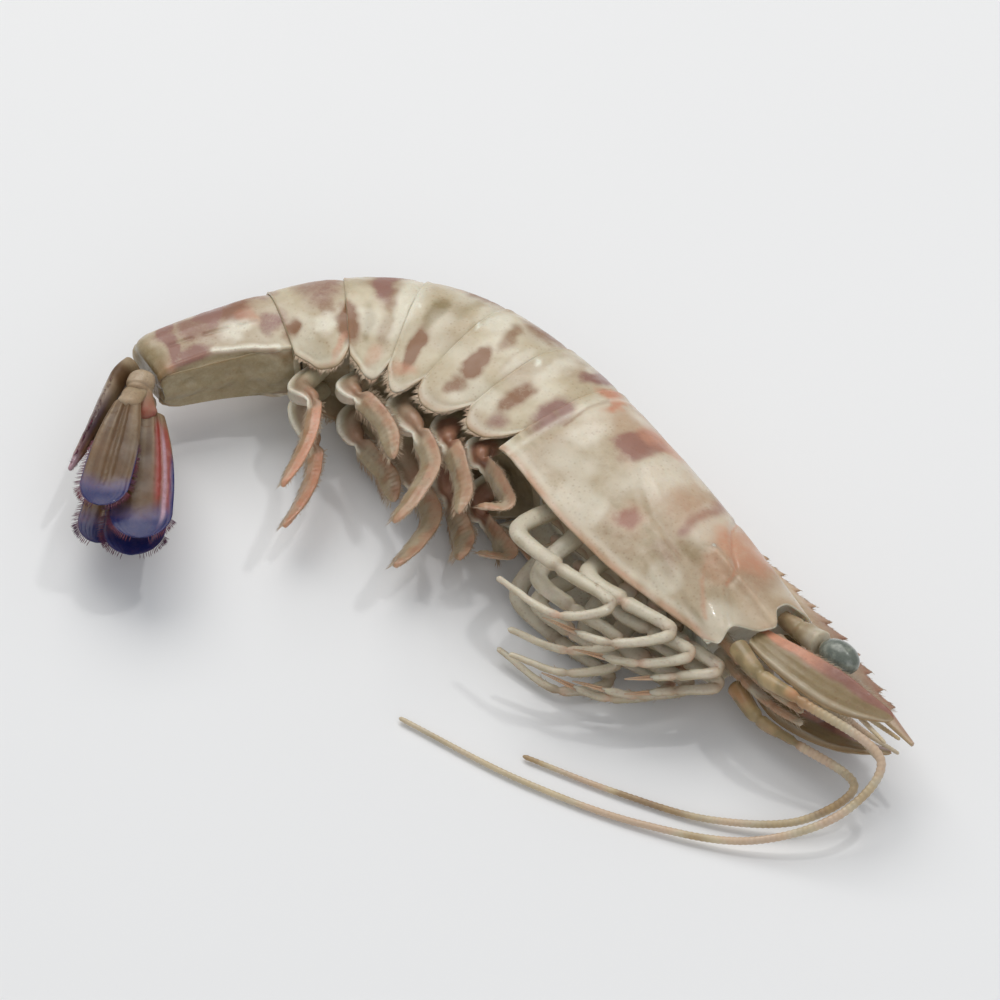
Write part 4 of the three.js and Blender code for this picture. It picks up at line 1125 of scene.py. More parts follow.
def carapace_patch(size):
    """The carapace's surface, open in front between its shell edges."""
    lip = CARAPACE_REAR - CARAPACE_LAP
    rows = [(CARAPACE_REAR, 0.9, 0), (lip + 0.9, 0.75, 0), (lip + 0.4, 0.5, 0), (lip + 0.06, 0.32, 0),
            (lip, 0.22, 0), (lip + 0.05, 0.08, 0)]
    first_outer = len(rows)
    for station in np.linspace(lip + 0.15, ORBIT, 150):
        rows.append((station, 0.0, ((station - lip) / (ORBIT - lip)) ** 4))
    last_outer = len(rows)
    rows += [(ORBIT + 0.1, 0.1, 1), (ORBIT + 0.12, 0.3, 1), (ORBIT - 0.1, 0.5, 1), (ORBIT - 0.9, 0.8, 0.9),
             (ORBIT - 1.8, 1.6, 0.6), (ORBIT - 2.4, 2.8, 0.3), (ORBIT - 2.6, 4.2, 0)]
    station, inset, pull = (column[:, None] for column in np.array(rows).T)
    under = np.maximum(station, CARAPACE_REAR)
    under[-RECESS_ROWS:, 0] = np.linspace(ORBIT - 1.5, ORBIT - HEAD_RECESS, RECESS_ROWS)
    reach = along(SIDE_REACH, station)
    depth, side = section(
        station, reach, along(UNDERSIDE_DEPTH, under), inset + size["skin_inset"], size["edge_radius"],
    )
    share = mirrored(SHELL_SHARE)
    front = along(FRONT_EDGE, depth) * share - 6 * (1 - share)
    place = under + (station - under) * share + pull * front
    points = body_point(place, depth, side)

    outer = np.zeros(station.shape)
    outer[first_outer:last_outer] = 1
    on_shell = outer * (share > 0.99)
    behind = station - lip
    above = reach - depth
    groove = size["groove"]
    height = size["wrinkle"] * (0.9 * noise(points, 6.0) + 0.5 * noise(points, 2.0, 1.5))
    height += 0.02 * noise(points, 0.7, 2.5)
    height = height + 0.06 * bump(behind, 0.5) - 0.09 * bump(behind - 1.5, 0.5)
    height -= 0.05 * bump(behind - 3.6, 0.7)
    height -= groove * 1.1 * nearness(place, depth, CERVICAL, 0.45)
    height += groove * 0.5 * nearness(place, depth - 1.0, CERVICAL, 0.6)
    height += 0.35 * nearness(place, depth, CHEEK_RIDGE, 0.6)
    height -= 0.2 * nearness(place, depth, GILL_DENT, 0.8)
    height = height + 0.05 * bump(above - 0.6, 0.5) - 0.07 * bump(above - 1.8, 0.6)
    long_ridge = ramp(behind, 2, 6)
    height += 0.3 * bump(side, 0.7) * long_ridge
    height -= 0.35 * bump(np.abs(side) - 1.9, 0.55) * long_ridge * (depth < 5)
    streaks = noise(np.stack([place * 0.25, depth + 0 * place, np.sign(side) + 0 * place], -1), 0.8, 3.0)
    height += 0.05 * streaks * ramp(above, 0, 3) * ramp(depth, 9, 14)
    points = swollen(points, np.where(on_shell > 0, height, 0.0))

    masks = shell_masks(points, place, depth, on_shell)
    inside = 1 - on_shell
    masks["brown"] = masks["brown"] + 0.1 * inside + 0.25 * on_shell * bump(behind, 0.4)
    # Off the shell's face, in the front recess, at the rear lip and on the underside, the strong pale is
    # painted light that lifts these parts out of their shade.
    masks["pale"] += 0.9 * inside
    blush = on_shell * (0.24 + 0.16 * noise(points, 7.0, 9.0)) * ramp(behind, 0, 6)
    raise_masks(masks, orange=blush * ramp(depth, 14, 6) + 0.25 * inside, mauve=blush * 0.75)
    raise_masks(masks, orange=0.5 * on_shell * bump(above - 0.4, 0.55))
    raise_masks(masks, pale=0.3 * on_shell * bump(above - 1.5, 0.7))
    raise_masks(masks, pale=0.4 * on_shell * bump(behind - 2.4, 0.5))
    raise_masks(masks, olive=0.3 * on_shell * ramp(streaks, 0.1, 0.6) * ramp(depth, 10, 15))
    return grid_patch(points, masks)


def rostrum_patches(rng, size):
    """The rostrum with its forward-leaning teeth, and the fine hairs between them."""
    rows, sides = 260, 24
    station = np.linspace(ROSTRUM_ROOT, ROSTRUM_TIP - 0.3, rows)
    pitch = (TOOTH_LAST - TOOTH_FIRST) / TEETH
    phase = (station - TOOTH_FIRST) / pitch
    number = np.floor(phase)
    part = phase - number
    toothed = (phase > 0) & (number < TEETH)
    tall = 1.1 - 0.35 * np.abs(number - 5) / 5
    rise = np.where(part < 0.8, (part / 0.8) ** 1.5, np.clip((1 - part) / 0.2, 0, 1))
    tooth = np.where(toothed, tall * rise, 0)
    lean = tooth * 0.9
    top = along(CREST, station)
    bottom = along(KEEL, station)
    half = along(BLADE, station)
    angle = np.linspace(0, 2 * np.pi, sides, endpoint=False)
    up = np.cos(angle)[None, :]
    out = np.sin(angle)[None, :]
    centre = (top * 0.45 + bottom * 0.55)[:, None]
    height = centre + np.where(up > 0, (top[:, None] - centre) * up, (centre - bottom[:, None]) * up)
    crest = np.clip(up, 0, 1) ** 10
    height += tooth[:, None] * crest
    narrow = 1 - 0.55 * np.clip(up, 0, 1) ** 2 - 0.2 * np.clip(-up, 0, 1) ** 2
    side = half[:, None] * out * narrow * 0.95
    waist = 0.18 * np.sign(out) * bump(up + 0.1, 0.25) * half[:, None]
    side = side - waist * (station > ORBIT - 2)[:, None]
    place = station[:, None] + lean[:, None] * crest
    points = body_point(place, -height, side)
    front = ramp(station, ORBIT - 8, ORBIT + 6)[:, None] + 0 * up
    masks = {
        "mauve": 0.75 * front * np.clip(0.4 + 0.6 * up, 0, 1),
        "brown": 0.25 * front + 0.3 * crest * toothed[:, None],
        "olive": 0.35 * front * np.clip(-up, 0, 1),
        "orange": 0.35 * (1 - front) * np.clip(up, 0, 1),
    }
    patches = [grid_patch(points, masks)]
    where = rng.uniform(0, rows - 1, ROSTRUM_HAIRS).astype(int)
    where = where[toothed[where]]
    roots = points[where, rng.choice([0, 1, sides - 1], len(where))]
    _, _, heading = back_line(station[where])
    up_way = np.stack([-np.sin(heading), np.cos(heading), 0 * heading], -1)
    ahead = np.stack([np.cos(heading), np.sin(heading), 0 * heading], -1)
    aims = ahead * 0.9 + up_way * 0.55 + rng.normal(0, 0.2, (len(where), 3))
    lengths = 0.5 * size["bristle"] * rng.uniform(0.4, 1.0, len(where))
    patches.append(hair_patch(roots, aims, lengths, size["bristle_radius"] * 0.8))
    return patches


def spine_patch(side):
    """A small forward spine on the cheek."""
    spec = SIDE_SPINE
    start = side * (along(HALF_WIDTH, spec["station"]) - spec["sunk"])
    base = body_point(spec["station"] - spec["length"] / 2, spec["depth"], start)
    tip = body_point(spec["station"] + spec["length"] / 2, spec["depth"] - 0.2, start * 1.02)
    rows, sides = 14, 12
    route = base + (tip - base) * np.linspace(0, 1, rows)[:, None]
    radius = spec["radius"] * (1 - np.linspace(0, 0.95, rows)) ** 0.8
    points = tube(route, radius, radius, (0, 0, 1), sides)
    return grid_patch(points, {"pale": 0.5})


class PRAWN_OT_carapace(bpy.types.Operator):
    """Build the carapace with its grooves, cheek spines and toothed rostrum"""

    bl_idname = "prawn.carapace"
    bl_label = "Carapace"

    def execute(self, context):
        size = sizes_mm()
        patches = [carapace_patch(size), *rostrum_patches(np.random.default_rng(11), size)]
        patches += [spine_patch(side) for _, side in SIDES]
        make_piece("carapace", "shell", patches)
        return {"FINISHED"}


# ---------------- thorax underside

STERNUM_HALF = 1.9
STERNUM_THICK = 2.0
STERNUM_RIBS = 5


def clear_of_underside(station):
    """The depth at which things hang clear of the body's underside."""
    return along(UNDERSIDE_DEPTH, station) + KEEL_DROP + GAP


class PRAWN_OT_thorax(bpy.types.Operator):
    """Build the ribbed plate between the leg bases"""

    bl_idname = "prawn.thorax"
    bl_label = "Thorax Underside"

    def execute(self, context):
        first, last = CARAPACE_REAR + 3, ORBIT - 8
        rows, sides = 90, 32
        station = np.linspace(first, last, rows)[:, None]
        way = (station - first) / (last - first)
        end = np.clip(np.minimum(way, 1 - way) / 0.05, 0.3, 1) ** 0.5
        angle = np.linspace(0, 2 * np.pi, sides, endpoint=False)[None, :]
        thick = (STERNUM_THICK - 0.3 * np.cos(way * 2 * STERNUM_RIBS * np.pi)) * end
        depth = clear_of_underside(station) + thick * 0.5 * (1 + np.cos(angle))
        side = STERNUM_HALF * end * np.sign(np.sin(angle)) * np.abs(np.sin(angle)) ** 0.7
        points = body_point(station, depth, -side)
        groove = bump(side, 0.35) * np.clip(np.cos(angle), 0, 1)
        points = swollen(points, 0.1 * noise(points, 1.2) - 0.25 * groove)
        masks = {
            "brown": 0.5 * groove + 0.2, "olive": 0.4, "mauve": 0.3 * ramp(noise(points, 3.0), 0, 0.5),
        }
        make_piece("thorax", "limb", [grid_patch(points, masks)])
        return {"FINISHED"}


# ---------------- tail fan

TAILWARD = direction(TAIL_HEADING + 180)
TELSON = {
    "depth": 3.9, "clear": 0.85, "root": 3.0, "root_heading": -96, "heading": -78.5, "length": 21.5,
    "half": 3.1, "thick": 1.7,
}
FAN_BASE = {"depth": 7.4, "side": 2.3, "clear": 1.1, "heading": -72, "length": 4.2}
# Each blade's place past its base, size, stalk's red, spine's and groove's place across it, streaks'
# seed, and heading and rise on either side.
BLADES = {
    "exopod": {"ahead": 1.5, "out": -1.2, "length": 26.5, "half": 4.4, "thick": 0.65, "flush": 0.9,
               "spine": 0.62, "groove": 0.44, "seed": 5.0, "right": (-58, 4), "left": (-61, 1)},
    "endopod": {"ahead": -1.3, "out": 0.9, "length": 23.0, "half": 3.5, "thick": 0.5, "flush": 0.15,
                "spine": 0.1, "groove": -0.1, "seed": 4.0, "right": (-66, 4), "left": (-68, 0)},
}
BLADE_GAP = 2.6           # how far past its base a blade begins
FRINGE = 1.1              # how long the bristles round a blade's end are
BLADE_BRISTLES = 420
TELSON_BRISTLES = 140


def telson_patches(size, rng):
    """The telson: a long pointed wedge with a groove along its back and small side spines."""
    start = body_point(0, TELSON["depth"], 0) + TAILWARD * TELSON["clear"]
    turn = start + direction(TELSON["root_heading"]) * TELSON["root"]
    end = turn + direction(TELSON["heading"]) * (TELSON["length"] - TELSON["root"])
    rows, sides = 120, 48
    route, total, way = curve_through([start, turn, 0.5 * (turn + end), end], rows)
    shoulder = TELSON["root"] / TELSON["length"]
    wide = TELSON["half"] * np.where(
        way < shoulder, 0.85 + way, 1 - 0.9 * np.clip((way - shoulder) / (1 - shoulder), 0, 1) ** 1.2,
    )
    thick = TELSON["thick"] * (1 - 0.8 * way)
    blunt = round_ends(way, total, 0.8, 0.5)
    points = tube(route, wide * blunt, thick * blunt, (0, 0, 1), sides)
    across, facing = tube_places(way, sides)
    groove = bump(across, 0.16) * ramp(way, 0.1, 0.3)[:, None]
    height = -0.3 * groove + 0.12 * bump(np.abs(across) - 0.34, 0.12) + 0.06 * noise(points, 1.1)
    points = swollen(points, height * ramp(1 - way, 0.03, 0.15)[:, None])
    masks = {
        "tan": 0.55 * ramp(noise(points, 3.2), -0.4, 0.5) * (1 - way[:, None] * 0.5) + 0.15 * groove,
        "red": 0.5 * ramp(way, 0.6, 0.85)[:, None] * (1 - 0.4 * np.abs(facing)),
        "ridge": 0.75 * ramp(way, 0.82, 0.94)[:, None] + 0 * across,
        "violet": 0.3 * bump(np.abs(across) - 0.9, 0.2) * ramp(way, 0.2, 0.5)[:, None],
        "navy": 0 * across,
    }
    patches = [grid_patch(points, masks)]
    ahead = unit(end - turn)
    spines = [(int(share * (rows - 1)), sense) for share in (0.62, 0.74, 0.86) for sense in (1, -1)]
    roots = np.array([points[row, 0 if sense > 0 else sides // 2] for row, sense in spines])
    aims = np.array([ahead + np.array([0, 0, 0.25 * sense]) for _, sense in spines])
    patches.append(hair_patch(roots, aims, 1.6, 0.16))
    count = TELSON_BRISTLES
    row = rng.integers(30, 114, count)
    column = (np.where(rng.random(count) < 0.5, 0, sides // 2) + rng.integers(-1, 2, count)) % sides
    aims = ahead + outward(points)[row, column] * 1.4 + rng.normal(0, 0.1, (count, 3))
    patches.append(hair_patch(points[row, column], aims, size["bristle"] * 0.5, size["bristle_radius"]))
    return patches


def fan_base_ends(side):
    """The two ends of the stout base that carries a pair of blades."""
    start = body_point(0, FAN_BASE["depth"], side * FAN_BASE["side"]) + TAILWARD * FAN_BASE["clear"]
    return start, start + direction(FAN_BASE["heading"]) * FAN_BASE["length"]


def fan_base_masks(points, way, red=0.15):
    """The clouded tan and the growing red of a base or of a blade's stalk."""
    cloud = ramp(noise(points, 1.8, 2.0), -0.3, 0.6)
    flush = red * np.maximum(cloud, red) * way[:, None]
    return {"tan": 0.95 - 0.25 * cloud, "red": flush, "ridge": 0.1 * (1 - cloud)}


def fan_base_patch(side):
    """The stout base of a pair of blades."""
    route, total, way = curve_through(fan_base_ends(side), 40)
    swell = (2 * way - 1) ** 2
    blunt = round_ends(way, total, 0.7, 0.7)
    points = tube(route, (2.0 - 0.6 * swell) * blunt, (1.6 - 0.4 * swell) * blunt, (1, 0, 0), 36)
    points = swollen(points, 0.14 * noise(points, 1.2) - 0.2 * bump(way - 0.75, 0.06)[:, None])
    return grid_patch(points, fan_base_masks(points, way))


STALK = {"inside": 1.2, "past": 1.6, "wide": 1.7, "thick": 0.9}


def stalk_patch(side, root, ahead, red):
    """The short stalk by which a blade hangs from its base."""
    start, end = fan_base_ends(side)
    sunk = end - unit(end - start) * STALK["inside"]
    route, total, way = curve_through([sunk, 0.5 * (end + root), root + ahead * STALK["past"]], 30)
    blunt = round_ends(way, total, 0.6, 1.2)
    across_way = direction(FAN_BASE["heading"] + 90)
    points = tube(route, STALK["wide"] * blunt, STALK["thick"] * blunt, across_way, 28)
    points = swollen(points, 0.08 * noise(points, 1.0))
    return grid_patch(points, fan_base_masks(points, way, red))


def blade_masks(kind, side, points, across, along_way):
    """Tan streaks, violet band and blue tip, and an outer blade's red strips and the pale highlight painted
    along its ridge.
    """
    streak_place = np.stack([across * 7.0, along_way * 0.7, 0 * across + side], -1)
    streak = ramp(noise(streak_place, 0.8, BLADES[kind]["seed"]), -0.5, 0.6)
    shape = 1 - (1 - np.abs(across)) * 0.4
    to_tip = along_way + 0.05 * (np.abs(across) - 0.4) + 0.02 * noise(points, 1.5)
    rim = ramp(np.abs(across), 0.93, 0.985) * ramp(along_way, 0.35, 0.6)
    masks = {
        "tan": 0.5 * streak * (1 - ramp(along_way, 0.05, 0.6) * 0.75) * shape,
        "red": 0,
        "violet": 0.75 * ramp(to_tip, 0.7, 0.86),
        "navy": np.maximum(0.95 * ramp(to_tip, 0.82, 0.9), 0.9 * rim),
        "ridge": 0,
    }
    if kind == "exopod":
        inner_strip = bump(across - 0.5, 0.13) * ramp(along_way, 0.02, 0.15)
        inner_strip = inner_strip * (1 - ramp(along_way, 0.6, 0.85))
        outer_strip = ramp(across, 0.62, 0.7) * (1 - ramp(across, 0.93, 0.99))
        outer_strip = outer_strip * ramp(along_way, 0.05, 0.2) * (1 - ramp(along_way, 0.75, 0.9))
        # The pale pink along the ridge is a painted highlight.
        ridge = 0.9 * bump(across - 0.7, 0.055) * ramp(along_way, 0.05, 0.3)
        masks["red"] = np.maximum(1.1 * inner_strip, 0.8 * outer_strip)
        masks["ridge"] = ridge * (1 - ramp(along_way, 0.8, 0.95))
        edge = ramp(across, 0.86, 0.95) * ramp(along_way, 0.25, 0.5)
        beside_edge = 0.6 * ramp(across, 0.8, 0.9) * ramp(along_way, 0.3, 0.6)
        raise_masks(masks, navy=0.95 * edge, violet=beside_edge)
    return masks


def blade_fringe(kind, points, ahead, beside, size, rng):
    """The fringe of bristles round a blade's end, densest at the tip."""
    rows, sides = points.shape[:2]
    count = BLADE_BRISTLES
    share = rng.uniform(0.42, 0.998, count)
    share[: count // 2] = rng.uniform(0.86, 0.999, count // 2)
    row = (share * (rows - 1)).astype(int)
    sense = np.where(rng.random(count) < 0.5, 1, -1)
    near_column = rng.integers(0, 2, count) * (sides - 1)
    far_column = sides // 2 - rng.integers(0, 2, count)
    column = np.where(sense > 0, near_column, far_column)
    turn = (ramp(share, 0.8, 1.0) * 1.4)[:, None]
    aims = ahead * (0.35 + turn) + beside * sense[:, None] * (1 - turn * 0.45)
    aims = aims + rng.normal(0, 0.08, (count, 3))
    lengths = FRINGE * 1.15 * rng.uniform(0.6, 1.0, count) * (0.5 + 0.5 * ramp(share, 0.4, 0.9))
    keep = ~((sense > 0) & (share < 0.85) & (kind == "exopod"))
    return hair_patch(points[row, column][keep], aims[keep], lengths[keep], size["bristle_radius"])


def blade_patches(kind, name, side, size, rng):
    """One tail blade: ribbed, with a stiff outer edge and a fringe round its end, and its stalk."""
    spec = BLADES[kind]
    heading, rise = spec[name]
    root = body_point(0, FAN_BASE["depth"], side * (FAN_BASE["side"] + spec["out"]))
    root = root + direction(FAN_BASE["heading"]) * (FAN_BASE["length"] + BLADE_GAP)
    root = root + direction(FAN_BASE["heading"] + 90) * spec["ahead"]
    ahead = direction(heading, rise)
    beside = direction(heading + 90)
    rows, sides = 130, 72
    route, total, way = curve_through([root, root + ahead * (spec["length"] - FRINGE)], rows)
    swell = np.sin(np.pi * np.minimum(0.13 + way * 0.55, 0.5)) ** 0.8
    blunt = np.where(way > 0.8, np.sqrt(np.clip(1 - ((way - 0.8) / 0.2) ** 2, 0.0025, 1)), 1)
    wide = spec["half"] * swell * blunt * round_ends(way, total, 1.0, 0)
    thick = spec["thick"] * (1 - 0.35 * way) * np.maximum(blunt, 0.25) * round_ends(way, total, 0.8, 0)
    route[:, 2] = np.maximum(route[:, 2], thick + 0.02)
    points = tube(route, wide, thick * 0.6, beside, sides)
    across, facing = tube_places(way, sides)
    along_way = way[:, None] + 0 * across
    spine = bump(across - spec["spine"], 0.09)
    groove = bump(across - spec["groove"], 0.07)
    second = bump(across + 0.35, 0.08)
    fade = ramp(1 - along_way, 0.06, 0.3)
    ribs = np.sin(across * 34 + 2.2 * noise(points, 3.0)) * ramp(along_way, 0.25, 0.7)
    cup = -0.1 * bump(across + 0.1, 0.5) * fade
    height = (0.24 * spine - 0.14 * groove + 0.1 * second) * fade + 0.035 * ribs + cup
    height += 0.05 * noise(points, 0.9)
    points = swollen(points, height * ramp(np.abs(facing), 0.05, 0.3))
    masks = blade_masks(kind, side, points, across, along_way)
    return [
        grid_patch(points, masks), stalk_patch(side, root, ahead, spec["flush"]),
        blade_fringe(kind, points, ahead, beside, size, rng),
    ]


class PRAWN_OT_tail_fan(bpy.types.Operator):
    """Build the telson, the two bases and the four tail blades with their fringes"""

    bl_idname = "prawn.tail_fan"
    bl_label = "Tail Fan"

    def execute(self, context):
        size = sizes_mm()
        rng = np.random.default_rng(31)
        make_piece("telson", "fan", telson_patches(size, rng))
        for name, side in SIDES:
            make_piece(f"uropod_base_{name}", "fan", [fan_base_patch(side)])
            for kind in BLADES:
                patches = blade_patches(kind, name, side, size, rng)
                make_piece(f"uropod_{kind}_{name}", "fan", patches)
        return {"FINISHED"}


# ---------------- swimming limbs

# Each pair's ring, root station and route as (x, y, side) places past the root.
PLEOPODS = (
    (1, 78, ((55.5, 6.2, 5.2), (61.2, 2.6, 6.0), (64.2, 0.0, 5.4), (60.8, -2.2, 4.8))),
    (2, 67, ((49.2, 7.2, 4.4), (54.2, 2.8, 6.0), (58.0, -1.2, 5.4), (59.4, -4.6, 4.8))),
    (3, 54.5, ((41.5, 7.6, 4.2), (46.5, 4.6, 5.8), (51.4, 0.6, 5.6), (52.6, -5.6, 5.2), (52.6, -10.8, 4.6))),
    (4, 41, ((32.8, 7.8, 3.6), (37.6, 5.6, 5.2), (42.4, 3.2, 5.0), (46.0, -0.6, 4.4))),
    (5, 28, ((26.3, 5.0, 2.2), (30.4, 2.4, 4.6), (33.6, -3.0, 4.8), (35.0, -8.4, 4.6), (35.6, -13.2, 4.2))),
)
BASE_SHARE = 0.42
BASE_THICK = 1.5
BLADE_THICK = 0.5
PLEOPOD_TURN = 30         # how far the wider way is turned up out of the level plane, in degrees
PLEOPOD_BASE_WIDE = 0.24  # half-widths, as shares of the ring's half-width
PLEOPOD_BLADE_WIDE = 0.18
PLEOPOD_ROOT = 0.3
FLUSHED = (1, 2)          # the pairs whose bases are flushed with red
WARMEST = 5               # the pair with the warmest blades
PLEOPOD_BRISTLES = 320


def pleopod_patches(number, root, route_places, side, size, rng):
    """A swimming limb: a swollen pale base, a narrow joint, then a flat blade with a fringe."""
    half = along(HALF_WIDTH, root)
    first = body_point(root, clear_of_underside(root) + GAP, side * half * PLEOPOD_ROOT)
    places = [first] + [(x, y, MID_HEIGHT + side * out) for x, y, out in route_places]
    rows, sides = 110, 36
    route, total, way = curve_through(places, rows)
    base = 1 - ramp(way, BASE_SHARE - 0.02, BASE_SHARE + 0.05)
    joint = bump(way - BASE_SHARE, 0.022)
    swell = 0.55 + 0.45 * np.sin(np.pi * np.clip(way / BASE_SHARE, 0, 1)) ** 0.8
    on_base = half * PLEOPOD_BASE_WIDE * swell
    tapered = half * PLEOPOD_BLADE_WIDE * np.where(way > 0.8, 1 - 0.65 * ((way - 0.8) / 0.2) ** 2, 1)
    wide = (tapered + (on_base - tapered) * base) * (1 - 0.3 * joint)
    thick = (BLADE_THICK * 0.8 + (BASE_THICK - BLADE_THICK * 0.8) * base * swell) * (1 - 0.35 * joint)
    blunt = round_ends(way, total, 0.8, 1.2)
    across_way = direction(np.degrees(float(back_line(root)[2])), PLEOPOD_TURN)
    points = tube(route, wide * blunt, thick * blunt, across_way, sides)
    across, facing = tube_places(way, sides)
    on_blade = ramp(way, BASE_SHARE + 0.02, BASE_SHARE + 0.08)[:, None]
    rings = np.sin(way * total * 2 * np.pi / 0.9)[:, None]
    height = 0.14 * bump(across, 0.2) * on_blade + 0.03 * rings * on_blade + 0.1 * noise(points, 1.4)
    # White along the ridge on the side facing the camera: a painted highlight.
    ridge = bump(across + 0.5, 0.16) * ramp(facing, 0, 0.4) * (1 - on_blade)
    dip = bump(across, 0.3) * ramp(facing, 0, 0.4) * (1 - on_blade)
    height = height + 0.4 * ridge - 0.3 * dip
    points = swollen(points, height * blunt[:, None])
    cloud = noise(points, 1.6, number * 1.7)
    low = bump(way - BASE_SHARE + 0.03, 0.06)[:, None]
    speckle = ramp(noise(points, 0.9, 6.0), 0.1, 0.5)
    flushed = ramp(across + 0.3 * cloud, -0.35, 0.1) * (1 - on_blade) * ramp(way, 0.12, 0.22)[:, None]
    red = 1.0 if number in FLUSHED else 0.15
    warmth = 0.5 if number == WARMEST else 0.1
    masks = {
        # The pale carries the ridge's painted highlight, and the base's paler side.
        "pale": np.maximum(ridge, 0.35 * (1 - on_blade) * ramp(-across, 0, 0.6)),
        "brown": red * flushed + 0.3 * low + 0.35 * on_blade * speckle * ramp(cloud, -0.2, 0.4),
        "orange": on_blade * (warmth + 0.4 * ramp(across + cloud, -0.4, 0.8)) + 0.3 * low,
        "olive": 0.4 * on_blade * ramp(-across + cloud, -0.3, 0.8) + 0.25 * (1 - on_blade) * (1 - ridge),
        "mauve": 0.3 * on_blade * ramp(cloud, 0.2, 0.7) + 0.45 * flushed,
    }
    share = rng.uniform(BASE_SHARE + 0.04, 0.99, PLEOPOD_BRISTLES)
    row = (share * (rows - 1)).astype(int)
    column = np.where(rng.random(len(row)) < 0.5, 0, sides // 2)
    ahead = unit(np.gradient(route, axis=0))[row]
    aims = ahead * rng.uniform(0.6, 1.5, (len(row), 1)) + outward(points)[row, column]
    fringe = sown_bristles(points, row, column, aims, 0.12, (0.55, 1.1), 0.9, size, rng)
    return [grid_patch(points, masks), fringe]


class PRAWN_OT_swimming_limbs(bpy.types.Operator):
    """Build the five pairs of swimming limbs with their fringes"""

    bl_idname = "prawn.swimming_limbs"
    bl_label = "Swimming Limbs"

    def execute(self, context):
        size = sizes_mm()
        rng = np.random.default_rng(41)
        for number, root, route in PLEOPODS:
            for name, side in SIDES:
                patches = pleopod_patches(number, root, route, side, size, rng)
                make_piece(f"pleopod_{number}_{name}", "limb", patches)
        return {"FINISHED"}


# ---------------- walking legs

# Each pair of legs: its root's station, how far past the flap's edge it lies, its lane's place between
# the middle plane and the side at either end, the lengths of its parts, and how far its hand folds down.
LEG_TERMS = ("number", "base", "past", "near", "far", "run", "carpus", "hand", "fold")
LEGS = [dict(zip(LEG_TERMS, leg)) for leg in (
    (1, ORBIT - 11, -0.3, 0.18, 0.17, 13, 6, 7, 0.75),
    (2, ORBIT - 16, 1.9, 0.34, 0.44, 15, 7, 9, 0.4),
    (3, ORBIT - 22, 2.0, 0.55, 0.74, 18, 8, 10, 0.25),
    (4, ORBIT - 28, 5.6, 0.28, 0.20, 19, 7, 9, 0.3),
    (5, ORBIT - 34, 5.0, 0.60, 0.86, 23, 7, 11, 0.1),
)]
LEG_RADIUS = 1.1
LEG_FLATNESS = 0.8
LEG_BREADTH = 1.3
LEG_ROOT = 0.405
LEFT_LEAN = 1.4
CLAWED = (1, 2, 3)        # the pairs that end in small claws
CLAW_START = 0.88         # the share of a clawed leg's length at which its fingers begin
LEG_BRISTLES = 60
MAXILLIPED_BRISTLES = 150


def leg_places(spec, side):
    """The places a leg runs through."""
    base, run = spec["base"], spec["run"]

    def lane(station, extra=0.0):
        way = np.clip((station - base) / run, 0, 1)
        share = spec["near"] + (spec["far"] - spec["near"]) * way
        lean = LEFT_LEAN * way if side < 0 else 0
        depth = along(SIDE_REACH, station) + spec["past"] + extra
        return body_point(station, depth, side * (along(HALF_WIDTH, station) * share + lean))

    knee = base + run
    carpus, hand, fold = spec["carpus"], spec["hand"], spec["fold"]
    root_side = side * along(HALF_WIDTH, base) * LEG_ROOT
    clear = clear_of_underside(base)
    return [
        body_point(base, clear + 0.5, root_side),
        body_point(base + 0.6, clear + 2.5, root_side),
        lane(base + 3.2),
        lane(base + run * 0.55),
        lane(knee),
        lane(knee - carpus * 0.3, carpus * 0.9),
        lane(knee - carpus * 0.5 - hand * (1 - fold), carpus * 0.95 + hand * fold),
    ]


